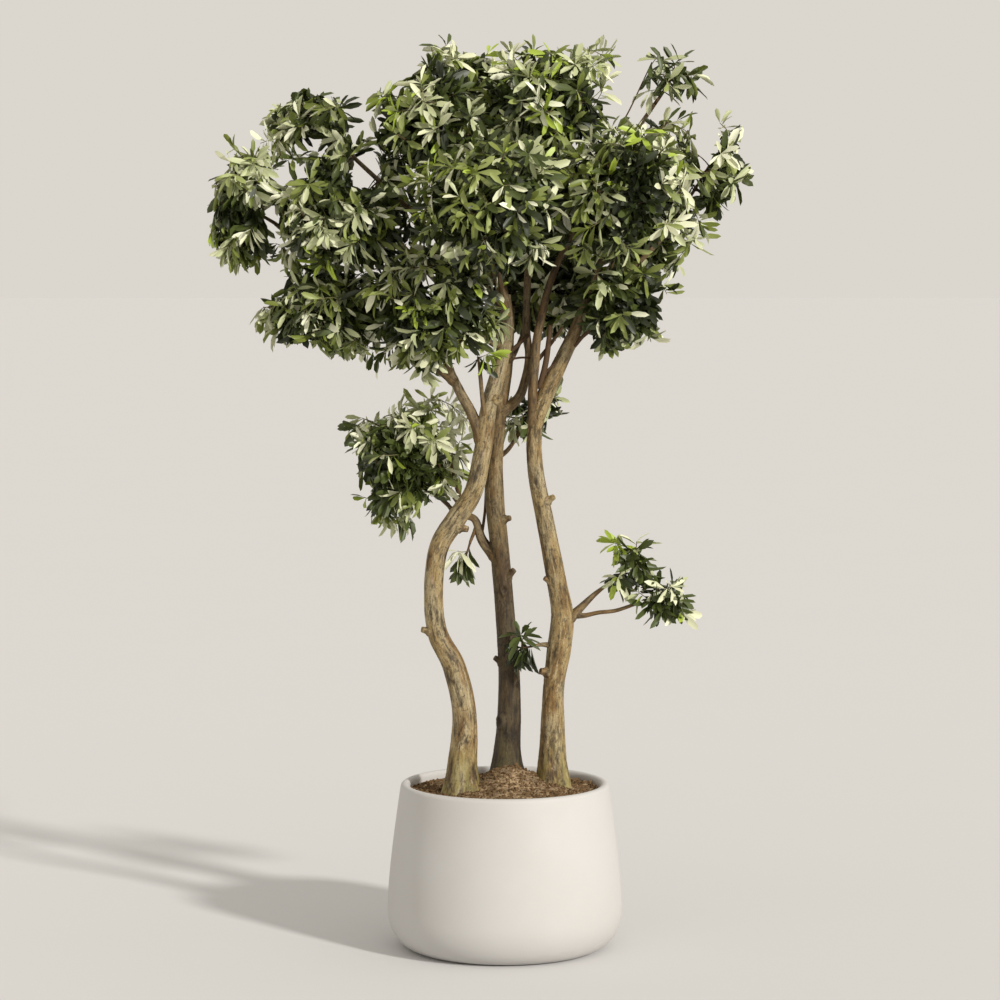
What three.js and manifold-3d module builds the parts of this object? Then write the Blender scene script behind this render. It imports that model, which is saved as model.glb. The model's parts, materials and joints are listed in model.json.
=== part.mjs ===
// A potted olive tree: three old stems in a round planter, their boughs, and the crown's masses of leaves.
//
// Millimetres, +Z up, origin at the centre of the planter's flat underside. +X is the tree's right,
// and +Y runs away from its front.

import * as THREE from 'three';
import { mergeVertices } from 'three/addons/utils/BufferGeometryUtils.js';
import Module from 'manifold-3d';

const wasm = await Module();
wasm.setup();

// ---------------------------------------------------------------- driving dimensions

const GAP = 0.3; // clearance between pieces that meet

const POT = {
  height: 412,
  footRadius: 220,
  bellyRadius: 293,
  bellyHeight: 95,
  rimRadius: 260,
  mouthRadius: 238,
  shoulderHeight: 180, // where the side's slope starts to show
  lipDrop: 11, // height of the rounded lip
  innerFootRadius: 258,
  floorThickness: 28,
  segments: 32,
};

const SOIL = {
  level: 392, // surface beside the wall
  moundHeight: 62,
  moundRadius: 66,
  moundCentre: new THREE.Vector2(14, -6),
  rings: [46, 92, 138, 184],
};

const BARK_COLOUR = 0x9c8461;

const STEM = { sides: 10, stepsPerSpan: 2, flareLobes: 5, flareDepth: 0.1, flareHeight: 70 };
const BOUGH = { sides: 5, steps: 4, tipRadius: 5 };

// Each stem's centre line from its flat foot in the soil up to its tip: x, y, z and radius.
const STEM_ROUTES = {
  stem_left: [
    [-106, -55, SOIL.level, 47], [-104, -55, 464, 37], [-100, -52, 593, 30], [-125, -50, 707, 28],
    [-166, -48, 792, 25], [-176, -45, 895, 23.5], [-163, -42, 1002, 24], [-122, -40, 1071, 25],
    [-78, -40, 1140, 23], [-54, -40, 1245, 22], [-40, -40, 1347, 20], [-15, -37, 1440, 19],
    [4, -32, 1538, 17], [0, -30, 1625, 14],
  ],
  stem_middle: [
    [6, 88, SOIL.level, 48], [7, 88, 480, 34], [12, 86, 590, 29], [10, 84, 705, 26.5],
    [-1, 80, 844, 24.5], [-13, 76, 991, 23.5], [-25, 73, 1110, 24], [-25, 70, 1215, 20.5],
    [-12, 66, 1335, 17.5], [4, 62, 1450, 15.5], [12, 60, 1590, 13],
  ],
  stem_right: [
    [121, 25, SOIL.level, 46], [120, 25, 466, 35], [120, 25, 582, 29], [123, 25, 660, 27],
    [135, 25, 740, 30], [143, 24, 830, 27.5], [126, 22, 928, 24], [101, 20, 1060, 22.5],
    [77, 18, 1185, 20], [74, 18, 1290, 19], [98, 20, 1370, 21], [136, 18, 1453, 18.5],
    [171, 11, 1528, 16], [192, 0, 1587, 13],
  ],
};

// Sawn-off stubs: the stem, the height of the foot, the direction it points and its length and radius.
const STUBS = [
  { stem: 'stem_left', height: 792, towards: [-1, -0.3, 0.25], length: 17, radius: 8 },
  { stem: 'stem_left', height: 1052, towards: [0.8, -0.5, -0.3], length: 14, radius: 8 },
  { stem: 'stem_left', height: 1366, towards: [0.85, -0.45, 0.1], length: 9, radius: 9 },
  { stem: 'stem_middle', height: 560, towards: [-1, -0.35, 0.2], length: 13, radius: 10 },
  { stem: 'stem_middle', height: 690, towards: [-0.8, -0.25, 0.55], length: 19, radius: 8 },
  { stem: 'stem_middle', height: 903, towards: [0.65, -0.4, 0.75], length: 24, radius: 8.5 },
  { stem: 'stem_middle', height: 1058, towards: [0.9, -0.5, 0.2], length: 16, radius: 8 },
  { stem: 'stem_right', height: 680, towards: [-0.9, -0.5, 0.2], length: 16, radius: 9 },
  { stem: 'stem_right', height: 896, towards: [-0.75, -0.3, 0.55], length: 19, radius: 7.5 },
  { stem: 'stem_right', height: 1106, towards: [0.8, -0.45, 0.5], length: 18, radius: 8 },
];

const LEAF = {
  longest: 138, // in the large masses each leaf stands for a spray of small ones
  shortest: 52,
  perReach: 0.86, // length over the mean reach of its mass
  shortestShare: 0.7, // of that length, where a full one finds no room
  widthRatio: 0.42,
  thicknessRatio: 0.03,
  perShoot: 5,
  rootDepth: 5, // from the shoot's tip back to the foot of its last leaf
  spacing: 15, // from one leaf's foot to the next
  leastSpread: 42, // degrees from the shoot
  mostSpread: 84,
  outwardPull: 1.1,
  droop: 0.18,
  mostTries: 24,
};

const TWIG = {
  stemRadius: 6.5,
  radius: 4.6,
  taper: 0.8,
  innermost: 0.34, // of the reach
  turnCost: 0.35, // how strongly a twig keeps to its parent's direction
  crowding: 0.36,
  mostTries: 60,
};

// The masses of leaves: centre, reach along x, y and z, the seed of their twigs, and how many shoots
// carry the leaves.
const MASSES = {
  leaves_far_left: { centre: [-636, -60, 1846], reach: [108, 125, 182], seed: 20, shoots: 5 },
  leaves_upper_left: { centre: [-466, 50, 2054], reach: [144, 130, 125], seed: 6, shoots: 4 },
  leaves_mid_left: { centre: [-395, -115, 1843], reach: [185, 180, 180], seed: 15, shoots: 5 },
  leaves_left_back: { centre: [-390, 205, 1873], reach: [178, 172, 183], seed: 17, shoots: 4 },
  leaves_lower_left: { centre: [-430, -20, 1587], reach: [202, 175, 131], seed: 5, shoots: 4 },
  leaves_top_left: { centre: [-186, -125, 2066], reach: [151, 190, 190], seed: 18, shoots: 5 },
  leaves_top_back: { centre: [-93, 215, 2081], reach: [204, 190, 183], seed: 15, shoots: 4 },
  leaves_top_centre: { centre: [104, -90, 2091], reach: [201, 195, 152], seed: 12, shoots: 5 },
  leaves_front: { centre: [-36, -290, 1852], reach: [214, 175, 191], seed: 3, shoots: 5 },
  leaves_back: { centre: [44, 330, 1832], reach: [253, 178, 217], seed: 23, shoots: 5 },
  leaves_over_fork: { centre: [-170, -135, 1612], reach: [192, 175, 178], seed: 5, shoots: 4 },
  leaves_under_back: { centre: [102, 190, 1634], reach: [193, 165, 137], seed: 15, shoots: 3 },
  leaves_right_front: { centre: [292, -145, 1878], reach: [194, 185, 194], seed: 10, shoots: 5 },
  leaves_right_back: { centre: [341, 190, 1835], reach: [183, 178, 208], seed: 15, shoots: 4 },
  leaves_right_tip: { centre: [500, -10, 1940], reach: [118, 120, 142], seed: 6, shoots: 3 },
  leaves_top_right: { centre: [410, 20, 2155], reach: [99, 84, 82], seed: 14, shoots: 2 },
  leaves_lower_right: { centre: [289, 15, 1604], reach: [154, 158, 134], seed: 12, shoots: 4 },
  leaves_low_left: { centre: [-249, 60, 1210], reach: [170, 145, 192], seed: 17, shoots: 5 },
  leaves_behind_fork: { centre: [81, 170, 1324], reach: [81, 76, 81], seed: 1, shoots: 2 },
  leaves_low_right_upper: { centre: [311, 26, 950], reach: [87, 74, 92], seed: 7, shoots: 3 },
  leaves_low_right_lower: { centre: [402, 0, 868], reach: [77, 70, 82], seed: 3, shoots: 3 },
  leaves_small_left: { centre: [40, 4, 748], reach: [36, 34, 69], seed: 5, shoots: 2 },
  leaves_hanging: { centre: [-100, 62, 962], reach: [40, 36, 54], seed: 15, shoots: 1 },
  leaves_fork_cluster: { centre: [-66, -98, 1474], reach: [39, 40, 51], seed: 15, shoots: 1 },
};

// Each bough leaves its parent at a share of the parent's length and ends where it enters its mass.
// `via` holds the points that it bends through, and `rise` lifts its middle where none is given.
const BOUGHS = {
  bough_left_fork: {
    from: 'stem_left', at: 0.7, mass: 'leaves_mid_left', radius: 13,
    via: [[-81, -44, 1332, 13], [-110, -50, 1387, 12], [-137, -55, 1446, 11], [-147, -58, 1502, 9.5],
      [-181, -62, 1576, 8.5]],
  },
  bough_left_low: {
    from: 'bough_left_fork', at: 0.4, mass: 'leaves_lower_left', radius: 8.5,
    via: [[-198, -58, 1473, 7.5], [-264, -62, 1515, 6.5]],
  },
  bough_far_left: { from: 'bough_left_fork', at: 0.78, mass: 'leaves_far_left', radius: 8, rise: -0.08 },
  bough_upper_left: { from: 'stem_left', at: 0.965, mass: 'leaves_upper_left', radius: 9, rise: 0.02 },
  bough_top_left: { from: 'stem_left', at: 0.985, mass: 'leaves_top_left', radius: 10, rise: 0 },
  bough_front: { from: 'stem_left', at: 0.95, mass: 'leaves_front', radius: 9, rise: -0.1 },
  bough_over_fork: { from: 'stem_left', at: 0.89, mass: 'leaves_over_fork', radius: 7, rise: -0.12 },
  bough_fork_cluster: { from: 'stem_left', at: 0.745, mass: 'leaves_fork_cluster', radius: 5.5, rise: -0.2 },
  bough_middle_right: {
    from: 'stem_middle', at: 0.795, mass: 'leaves_top_centre', radius: 11.5,
    via: [[32, 62, 1365, 11.5], [49, 60, 1407, 11], [60, 56, 1470, 10.5], [53, 50, 1550, 10], [62, 20, 1760, 8]],
  },
  bough_low_left: {
    from: 'stem_middle', at: 0.475, mass: 'leaves_low_left', radius: 13,
    via: [[-55, 84, 1008, 12], [-76, 90, 1062, 10], [-120, 94, 1074, 8.5]],
  },
  bough_hanging: {
    from: 'bough_low_left', at: 0.42, mass: 'leaves_hanging', radius: 4.5, tipRadius: 3.2, via: [[-84, 82, 1012, 4]],
  },
  bough_top_back: { from: 'stem_middle', at: 0.99, mass: 'leaves_top_back', radius: 9.5, rise: 0 },
  bough_back: { from: 'stem_middle', at: 0.97, mass: 'leaves_back', radius: 9, rise: -0.1 },
  bough_left_back: { from: 'stem_middle', at: 0.94, mass: 'leaves_left_back', radius: 9, rise: -0.04 },
  bough_under_back: { from: 'stem_middle', at: 0.9, mass: 'leaves_under_back', radius: 7, rise: -0.1 },
  bough_behind_fork: { from: 'stem_middle', at: 0.7, mass: 'leaves_behind_fork', radius: 5.5, rise: -0.12 },
  bough_right_inner: {
    from: 'stem_right', at: 0.7, mass: 'leaves_top_right', radius: 12.5,
    via: [[70, 14, 1344, 12.5], [69, 8, 1389, 12], [74, 2, 1454, 11.5], [84, 0, 1540, 10.5],
      [130, 15, 1700, 8.5], [260, 30, 1930, 6.5]],
  },
  bough_right_up: { from: 'stem_right', at: 0.985, mass: 'leaves_right_front', radius: 9, rise: -0.04 },
  bough_right_out: {
    from: 'stem_right', at: 0.99, mass: 'leaves_right_tip', radius: 9,
    via: [[229, -4, 1620, 8.5], [276, -8, 1650, 7.5], [400, -6, 1780, 6]],
  },
  bough_right_back: { from: 'bough_right_out', at: 0.22, mass: 'leaves_right_back', radius: 8, rise: -0.05 },
  bough_lower_right: { from: 'stem_right', at: 0.88, mass: 'leaves_lower_right', radius: 5.5, rise: -0.08 },
  bough_low_right_upper: {
    from: 'stem_right', at: 0.36, mass: 'leaves_low_right_upper', radius: 11, tipRadius: 4,
    via: [[190, 25, 845, 7.5], [222, 26, 878, 6]],
  },
  bough_low_right_lower: {
    from: 'bough_low_right_upper', at: 0.2, mass: 'leaves_low_right_lower', radius: 7, tipRadius: 3.6,
    via: [[197, 21, 827, 6], [232, 15, 835, 5.2], [276, 8, 841, 4.8], [320, 4, 856, 4.2]],
  },
  bough_small_left: {
    from: 'stem_right', at: 0.315, mass: 'leaves_small_left', radius: 5.5, tipRadius: 3.2, via: [[96, 14, 755, 4.4]],
  },
};

// ---------------------------------------------------------------- solids

/** Turns a closed three.js geometry into a solid that can be joined and cut. */
function solidOf(geometry) {
  const bare = geometry.clone();
  bare.deleteAttribute('normal');
  bare.deleteAttribute('uv');
  const merged = mergeVertices(bare, 1e-4);
  return new wasm.Manifold(new wasm.Mesh({
    numProp: 3,
    vertProperties: new Float32Array(merged.attributes.position.array),
    triVerts: new Uint32Array(merged.index.array),
  }));
}

/** Turns a solid back into a three.js geometry. */
function geometryOf(solid) {
  const mesh = solid.getMesh();
  const geometry = new THREE.BufferGeometry();
  geometry.setAttribute('position', new THREE.BufferAttribute(new Float32Array(mesh.vertProperties), 3));
  geometry.setIndex(new THREE.BufferAttribute(new Uint32Array(mesh.triVerts), 1));
  geometry.computeVertexNormals();
  return geometry;
}

/** The largest body of a solid: loose scraps and sealed hollows are left behind. */
function largestBody(solid) {
  const bodies = solid.decompose();
  return bodies.reduce((best, body) => (body.volume() > best.volume() ? body : best));
}

const touches = (solid, other) => !solid.intersect(other).isEmpty();
const joined = (solids) => solids.reduce((whole, solid) => whole.add(solid));
const vector = ([x, y, z]) => new THREE.Vector3(x, y, z);

// ---------------------------------------------------------------- planter and soil

/** The planter: a rounded foot, a full belly, a side that leans in and a soft lip, turned about Z. */
function planterGeometry() {
  const lipMiddle = (POT.rimRadius + POT.mouthRadius) / 2;
  const lipFoot = POT.height - POT.lipDrop;
  const outline = new THREE.Path();
  outline.moveTo(0, 0);
  outline.lineTo(POT.footRadius, 0);
  outline.absellipse(POT.footRadius, POT.bellyHeight, POT.bellyRadius - POT.footRadius, POT.bellyHeight,
    -Math.PI / 2, 0, false);
  outline.quadraticCurveTo(POT.bellyRadius, POT.shoulderHeight, POT.rimRadius, lipFoot);
  outline.quadraticCurveTo(POT.rimRadius - 1.5, POT.height, lipMiddle, POT.height);
  outline.quadraticCurveTo(POT.mouthRadius + 1.5, POT.height, POT.mouthRadius, lipFoot);
  outline.lineTo(POT.innerFootRadius, POT.floorThickness);
  outline.lineTo(0, POT.floorThickness);
  const lathe = new THREE.LatheGeometry(outline.getPoints(3), POT.segments);
  return lathe.rotateX(Math.PI / 2);
}

/** Height of the soil's surface at a place: level, with one broad mound among the stems. */
function soilHeight(x, y) {
  const distance = Math.hypot(x - SOIL.moundCentre.x, y - SOIL.moundCentre.y);
  return SOIL.level + SOIL.moundHeight * Math.exp(-((distance / SOIL.moundRadius) ** 2) / 2);
}

/** Inner radius of the planter's wall at a height, less the clearance. */
function soilRadius(height) {
  const share = (height - POT.floorThickness) / (POT.height - POT.lipDrop - POT.floorThickness);
  return THREE.MathUtils.lerp(POT.innerFootRadius, POT.mouthRadius, share) - GAP;
}

/** The soil: a plug that fills the planter, with the mound raised on its surface. */
function soilGeometry() {
  const floor = POT.floorThickness + GAP;
  const profile = [new THREE.Vector2(0, floor), new THREE.Vector2(soilRadius(floor), floor),
    new THREE.Vector2(soilRadius(SOIL.level), SOIL.level)];
  for (const radius of [...SOIL.rings].reverse()) {
    profile.push(new THREE.Vector2(radius, SOIL.level));
  }
  profile.push(new THREE.Vector2(0, SOIL.level));
  const soil = new THREE.LatheGeometry(profile, POT.segments).rotateX(Math.PI / 2);
  const place = soil.attributes.position;
  const innerEdge = soilRadius(SOIL.level) - 1;
  for (let i = 0; i < place.count; i += 1) {
    const onSurface = place.getZ(i) > SOIL.level - 1;
    if (onSurface && Math.hypot(place.getX(i), place.getY(i)) < innerEdge) {
      place.setZ(i, soilHeight(place.getX(i), place.getY(i)));
    }
  }
  return soil;
}

// ---------------------------------------------------------------- limbs

/** A limb's centre line and radius, both smooth through the points x, y, z, radius. */
class LimbRoute {
  constructor(points) {
    this.spans = points.length - 1;
    this.line = new THREE.CatmullRomCurve3(points.map(vector), false, 'catmullrom');
    this.girth = new THREE.CatmullRomCurve3(points.map((point) => new THREE.Vector3(point[3], 0, 0)), false,
      'catmullrom');
  }

  at(share) { return this.line.getPoint(share); }

  along(share) { return this.line.getTangent(share); }

  radius(share) { return this.girth.getPoint(share).x; }

  /** The share of the route at which it first reaches a height. */
  shareAtHeight(height) {
    let share = 0;
    while (share < 1 && this.at(share).z < height) {
      share += 0.002;
    }
    return share;
  }
}

/**
 * A tapering limb: a cylinder bent along a route. `grown` adds to its radius and to both of its ends,
 * and `flare` spreads a stem's foot in lobes above a flat cut.
 */
function limbGeometry(route, sides, steps, grown = 0, flare = false) {
  const limb = new THREE.CylinderGeometry(1, 1, 1, sides, steps);
  const frames = [];
  let across = new THREE.Vector3(0, 1, 0).cross(route.along(0.001));
  if (across.length() < 0.3) {
    across = new THREE.Vector3(1, 0, 0);
  }
  for (let i = 0; i <= steps; i += 1) {
    const share = i / steps;
    const along = flare && i === 0 ? new THREE.Vector3(0, 0, 1) : route.along(Math.max(share, 0.001));
    across = across.clone().addScaledVector(along, -across.dot(along)).normalize();
    const centre = route.at(share);
    if (i === 0) centre.addScaledVector(along, -grown);
    if (i === steps) centre.addScaledVector(along, grown);
    frames.push({ centre, across, beside: across.clone().cross(along), radius: route.radius(share) });
  }
  const footHeight = route.at(0).z;
  const place = limb.attributes.position;
  for (let i = 0; i < place.count; i += 1) {
    const frame = frames[Math.round((place.getY(i) + 0.5) * steps)];
    const angle = Math.atan2(place.getZ(i), place.getX(i));
    const reach = Math.hypot(place.getX(i), place.getZ(i));
    let radius = frame.radius;
    if (flare) {
      const fade = Math.exp(-(frame.centre.z - footHeight) / STEM.flareHeight);
      radius *= 1 + STEM.flareDepth * fade * Math.cos(STEM.flareLobes * angle + footHeight);
    }
    radius += grown / Math.cos(Math.PI / sides);
    const point = frame.centre.clone();
    point.addScaledVector(frame.across, Math.cos(angle) * reach * radius);
    point.addScaledVector(frame.beside, Math.sin(angle) * reach * radius);
    place.setXYZ(i, point.x, point.y, point.z);
  }
  return limb;
}

/** A sawn-off stub on a stem, with its foot well inside the wood. */
function stubSolid(stub, route) {
  const share = route.shareAtHeight(stub.height);
  const towards = vector(stub.towards).normalize();
  const reach = route.radius(share) + stub.length;
  const peg = new THREE.CylinderGeometry(stub.radius * 0.85, stub.radius * 1.25, reach, 7, 1);
  peg.translate(0, reach / 2, 0);
  peg.applyQuaternion(new THREE.Quaternion().setFromUnitVectors(new THREE.Vector3(0, 1, 0), towards));
  const foot = route.at(share);
  peg.translate(foot.x, foot.y, foot.z);
  return solidOf(peg);
}

/** Every limb's route, solid, and the grown solid that keeps its neighbours clear of it. */
const limbs = {};

function addStem(name, points) {
  const route = new LimbRoute(points);
  const steps = route.spans * STEM.stepsPerSpan;
  const stubs = STUBS.filter((stub) => stub.stem === name).map((stub) => stubSolid(stub, route));
  const solid = joined([solidOf(limbGeometry(route, STEM.sides, steps, 0, true)), ...stubs]);
  const clear = joined([solidOf(limbGeometry(route, STEM.sides, steps, GAP, true)), ...stubs]);
  limbs[name] = { route, solid, clear };
}

/** The route of a bough, from inside its parent to the place where it enters its mass. */
function boughRoute(spec) {
  const parent = limbs[spec.from].route;
  const start = parent.at(spec.at);
  const tipRadius = spec.tipRadius ?? BOUGH.tipRadius;
  const via = (spec.via ?? []).map((point) => [...point]);
  const last = via.length > 0 ? vector(via.at(-1)) : start;
  const end = cells[spec.mass].entry(last);
  if (via.length === 0) {
    const middle = start.clone().lerp(end, 0.5);
    middle.z += spec.rise * start.distanceTo(end);
    via.push([...middle, (spec.radius + tipRadius) / 2]);
  }
  return new LimbRoute([[...start, spec.radius], ...via, [...end, tipRadius]]);
}

function addBough(name, spec) {
  const route = boughRoute(spec);
  const steps = Math.max(BOUGH.steps, route.spans);
  let solid = solidOf(limbGeometry(route, BOUGH.sides, steps));
  for (const earlier of Object.values(limbs)) {
    solid = solid.subtract(earlier.clear);
  }
  limbs[name] = {
    route,
    solid: largestBody(solid),
    clear: solidOf(limbGeometry(route, BOUGH.sides, steps, GAP)),
  };
}

// ---------------------------------------------------------------- masses of leaves

/** The space that a mass keeps to: its ellipsoid, cut by a plane towards each of its neighbours. */
class Cell {
  constructor(mass) {
    this.centre = vector(mass.centre);
    this.reach = vector(mass.reach);
    this.planes = [];
  }

  /** How far the ellipsoid reaches from its centre in a direction. */
  extent(direction) {
    return 1 / direction.clone().divide(this.reach).length();
  }

  /** Gives way to a neighbour, each in proportion to its size. */
  giveWayTo(other) {
    const towards = other.centre.clone().sub(this.centre);
    const distance = towards.length();
    towards.normalize();
    const share = this.extent(towards) / (this.extent(towards) + other.extent(towards));
    this.planes.push({ towards, limit: towards.dot(this.centre) + distance * share - 2 * GAP });
  }

  holds(point, margin = 0) {
    const inEllipsoid = point.clone().sub(this.centre).divide(this.reach).length() <= 1;
    return inEllipsoid && this.planes.every((plane) => plane.towards.dot(point) <= plane.limit - margin);
  }

  /** The first place well inside the cell on the way from a point to its centre. */
  entry(from) {
    const margin = 2 * TWIG.stemRadius;
    let share = 0;
    while (share < 1) {
      const point = from.clone().lerp(this.centre, share);
      const inward = point.clone().sub(this.centre).divide(this.reach).length() < 0.9;
      if (inward && this.holds(point, margin)) {
        return point;
      }
      share += 0.01;
    }
    return this.centre.clone();
  }
}

const cells = Object.fromEntries(Object.entries(MASSES).map(([name, mass]) => [name, new Cell(mass)]));
for (const cell of Object.values(cells)) {
  for (const other of Object.values(cells)) {
    if (other !== cell) {
      cell.giveWayTo(other);
    }
  }
}

/** A repeatable stream of numbers from 0 to 1. */
function seededNumbers(seed) {
  let state = seed >>> 0;
  return () => {
    state = (state + 0x6d2b79f5) >>> 0;
    let mixed = Math.imul(state ^ (state >>> 15), 1 | state);
    mixed = (mixed + Math.imul(mixed ^ (mixed >>> 7), 61 | mixed)) ^ mixed;
    return ((mixed ^ (mixed >>> 14)) >>> 0) / 4294967296;
  };
}

// Three steps of the generalised golden ratio: each further point falls in the widest space left.
const GOLDEN_STEP = [0.8191725133961645, 0.6710436067037893, 0.5497004779019703];
const GOLDEN_ANGLE = Math.PI * (3 - Math.sqrt(5));

/** Where a mass's twig of a given number reaches to. */
function twigTarget(cell, seed, number, outermost) {
  const [depth, height, turn] = GOLDEN_STEP.map((step, axis) => (seed * (0.31 + 0.17 * axis) + number * step) % 1);
  const cosine = 1 - 2 * height;
  const sine = Math.sqrt(1 - cosine * cosine);
  const angle = 2 * Math.PI * turn;
  const direction = new THREE.Vector3(sine * Math.cos(angle), sine * Math.sin(angle), cosine);
  const radius = THREE.MathUtils.lerp(TWIG.innermost, outermost, Math.sqrt(depth));
  return direction.multiply(cell.reach).multiplyScalar(radius).add(cell.centre);
}

/** The node of the twigs grown so far that a new twig leaves from: near, and pointing its way. */
function nearestNode(nodes, target) {
  let best = null;
  let lowest = Infinity;
  for (const node of nodes) {
    const way = target.clone().sub(node.place);
    const distance = way.length();
    const turn = 1 - way.normalize().dot(node.along);
    const cost = distance * (1 + TWIG.turnCost * turn);
    if (cost < lowest) {
      lowest = cost;
      best = node;
    }
  }
  return best;
}

const TWIG_SECTION = new THREE.Shape([0, 1, 2].map((corner) => {
  const angle = (corner * 2 * Math.PI) / 3;
  return new THREE.Vector2(Math.cos(angle), Math.sin(angle));
}));

/** A straight three-sided twig between two places, tapering to its tip. */
function twigSolid(from, to, footRadius, tipRadius) {
  const twig = new THREE.ExtrudeGeometry(TWIG_SECTION, { depth: 1, steps: 1, bevelEnabled: false });
  const way = to.clone().sub(from);
  const turn = new THREE.Quaternion().setFromUnitVectors(new THREE.Vector3(0, 0, 1), way.clone().normalize());
  const place = twig.attributes.position;
  for (let i = 0; i < place.count; i += 1) {
    const share = place.getZ(i);
    const corner = new THREE.Vector3(place.getX(i), place.getY(i), 0);
    corner.multiplyScalar(THREE.MathUtils.lerp(footRadius, tipRadius, share)).applyQuaternion(turn);
    corner.add(from).addScaledVector(way, share);
    place.setXYZ(i, corner.x, corner.y, corner.z);
  }
  return solidOf(twig);
}

/** The six corners of a leaf lie on an octahedron stretched to its length, width and thickness. */
function leafGeometry(foot, way, face, length) {
  const beside = face.clone().cross(way).normalize();
  const above = way.clone().cross(beside);
  const leaf = new THREE.OctahedronGeometry(1);
  const stretch = new THREE.Matrix4().makeBasis(
    way.clone().multiplyScalar(length / 2),
    beside.clone().multiplyScalar((length * LEAF.widthRatio) / 2),
    above.clone().multiplyScalar((length * LEAF.thicknessRatio) / 2),
  );
  stretch.setPosition(foot.clone().addScaledVector(way, length / 2));
  return leaf.applyMatrix4(stretch);
}

/** Whether all corners of a geometry are in a cell. */
function liesIn(cell, geometry) {
  const place = geometry.attributes.position;
  for (let i = 0; i < place.count; i += 1) {
    if (!cell.holds(new THREE.Vector3().fromBufferAttribute(place, i))) {
      return false;
    }
  }
  return true;
}

/** A mass's own sizes, with the length of its leaves by how far it reaches. */
function massSizes(name) {
  const cell = cells[name];
  const meanReach = (cell.reach.x + cell.reach.y + cell.reach.z) / 3;
  const leafLength = THREE.MathUtils.clamp(meanReach * LEAF.perReach, LEAF.shortest, LEAF.longest);
  const outermost = Math.max(1 - (TWIG.crowding * leafLength) / meanReach, TWIG.innermost);
  return { cell, seed: MASSES[name].seed, leafLength, outermost };
}

/** The twigs of a mass: a stem from the bough's tip to the heart, and what branches from it by the seeded rule. */
function growTwigs(name, sizes, bough, obstacles) {
  const { cell, seed, outermost } = sizes;
  const stemRadius = Math.min(TWIG.stemRadius, bough.route.radius(1));
  const twigRadius = Math.min(TWIG.radius, stemRadius * TWIG.taper);
  const start = bough.route.at(1);
  const heart = cell.centre;
  const stemWay = heart.clone().sub(start).normalize();
  const stem = twigSolid(start, heart, stemRadius, stemRadius * TWIG.taper);
  const solids = [largestBody(stem.subtract(bough.clear))];
  const nodes = [0.35, 0.7, 1].map((share) => ({ place: start.clone().lerp(heart, share), along: stemWay }));
  const shoots = [{ place: heart, along: stemWay, length: start.distanceTo(heart), solid: solids[0] }];
  for (let number = 1; shoots.length < MASSES[name].shoots && number < TWIG.mostTries; number += 1) {
    const target = twigTarget(cell, seed, number, outermost);
    const node = nearestNode(nodes, target);
    const twig = twigSolid(node.place, target, twigRadius, twigRadius * TWIG.taper);
    if (cell.holds(target, twigRadius) && !touches(twig, obstacles)) {
      const along = target.clone().sub(node.place).normalize();
      solids.push(twig);
      nodes.push({ place: node.place.clone().lerp(target, 0.55), along }, { place: target, along });
      shoots.push({ place: target, along, length: node.place.distanceTo(target), solid: twig });
    }
  }
  return { solids, shoots };
}

/** The leaves of one shoot, set spirally back from its tip. A leaf that finds no room is left out. */
function growLeaves(shoot, sizes, random, obstacles) {
  const { cell, leafLength } = sizes;
  const leaves = [];
  const outward = shoot.place.clone().sub(cell.centre).divide(cell.reach);
  const axis = shoot.along.clone().addScaledVector(outward, LEAF.outwardPull).normalize();
  const side = new THREE.Vector3(axis.y, -axis.x, 0.01).cross(axis).normalize();
  const step = Math.min(LEAF.spacing, (shoot.length * 0.8) / LEAF.perShoot);
  const firstTurn = random() * 2 * Math.PI;
  for (let tries = 0; leaves.length < LEAF.perShoot && tries < LEAF.mostTries; tries += 1) {
    const spread = THREE.MathUtils.degToRad(THREE.MathUtils.lerp(LEAF.leastSpread, LEAF.mostSpread, random()));
    const length = leafLength * THREE.MathUtils.lerp(1, LEAF.shortestShare, tries / LEAF.mostTries);
    const ring = side.clone().applyAxisAngle(axis, firstTurn + tries * GOLDEN_ANGLE);
    const way = axis.clone().multiplyScalar(Math.cos(spread)).addScaledVector(ring, Math.sin(spread));
    way.z -= LEAF.droop;
    way.normalize();
    const face = axis.clone().addScaledVector(way, -axis.dot(way));
    const seat = shoot.place.clone().addScaledVector(shoot.along, -(LEAF.rootDepth + leaves.length * step));
    const geometry = leafGeometry(seat, way, face, length);
    if (liesIn(cell, geometry)) {
      const leaf = solidOf(geometry);
      if (![...obstacles, ...leaves].some((other) => touches(leaf, other))) {
        leaves.push(leaf);
      }
    }
  }
  return leaves;
}

/** One mass: its twigs with their leaves, fused into one solid. */
function massSolid(name, obstacles) {
  const sizes = massSizes(name);
  const boughName = Object.keys(BOUGHS).find((key) => BOUGHS[key].mass === name);
  const random = seededNumbers(sizes.seed);
  const twigs = growTwigs(name, sizes, limbs[boughName], obstacles);
  const leaves = [];
  for (const shoot of twigs.shoots) {
    const otherTwigs = twigs.solids.filter((twig) => twig !== shoot.solid);
    leaves.push(...growLeaves(shoot, sizes, random, [obstacles, ...otherTwigs, ...leaves]));
  }
  return largestBody(joined([...twigs.solids, ...leaves]));
}

// ---------------------------------------------------------------- assembly

const tree = new THREE.Group();
const finishes = {
  pot: new THREE.MeshStandardMaterial({ color: 0xe0dcd5, roughness: 0.75, metalness: 0 }),
  soil: new THREE.MeshStandardMaterial({ color: 0x7d654a, roughness: 1, metalness: 0 }),
  bark: new THREE.MeshStandardMaterial({ color: BARK_COLOUR, roughness: 0.9, metalness: 0 }),
  leaves: new THREE.MeshStandardMaterial({ color: 0x5c6b3f, roughness: 0.6, metalness: 0, flatShading: true }),
};

function addPiece(name, geometry, finish) {
  const piece = new THREE.Mesh(geometry, finishes[finish]);
  piece.name = name;
  tree.add(piece);
}

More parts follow.
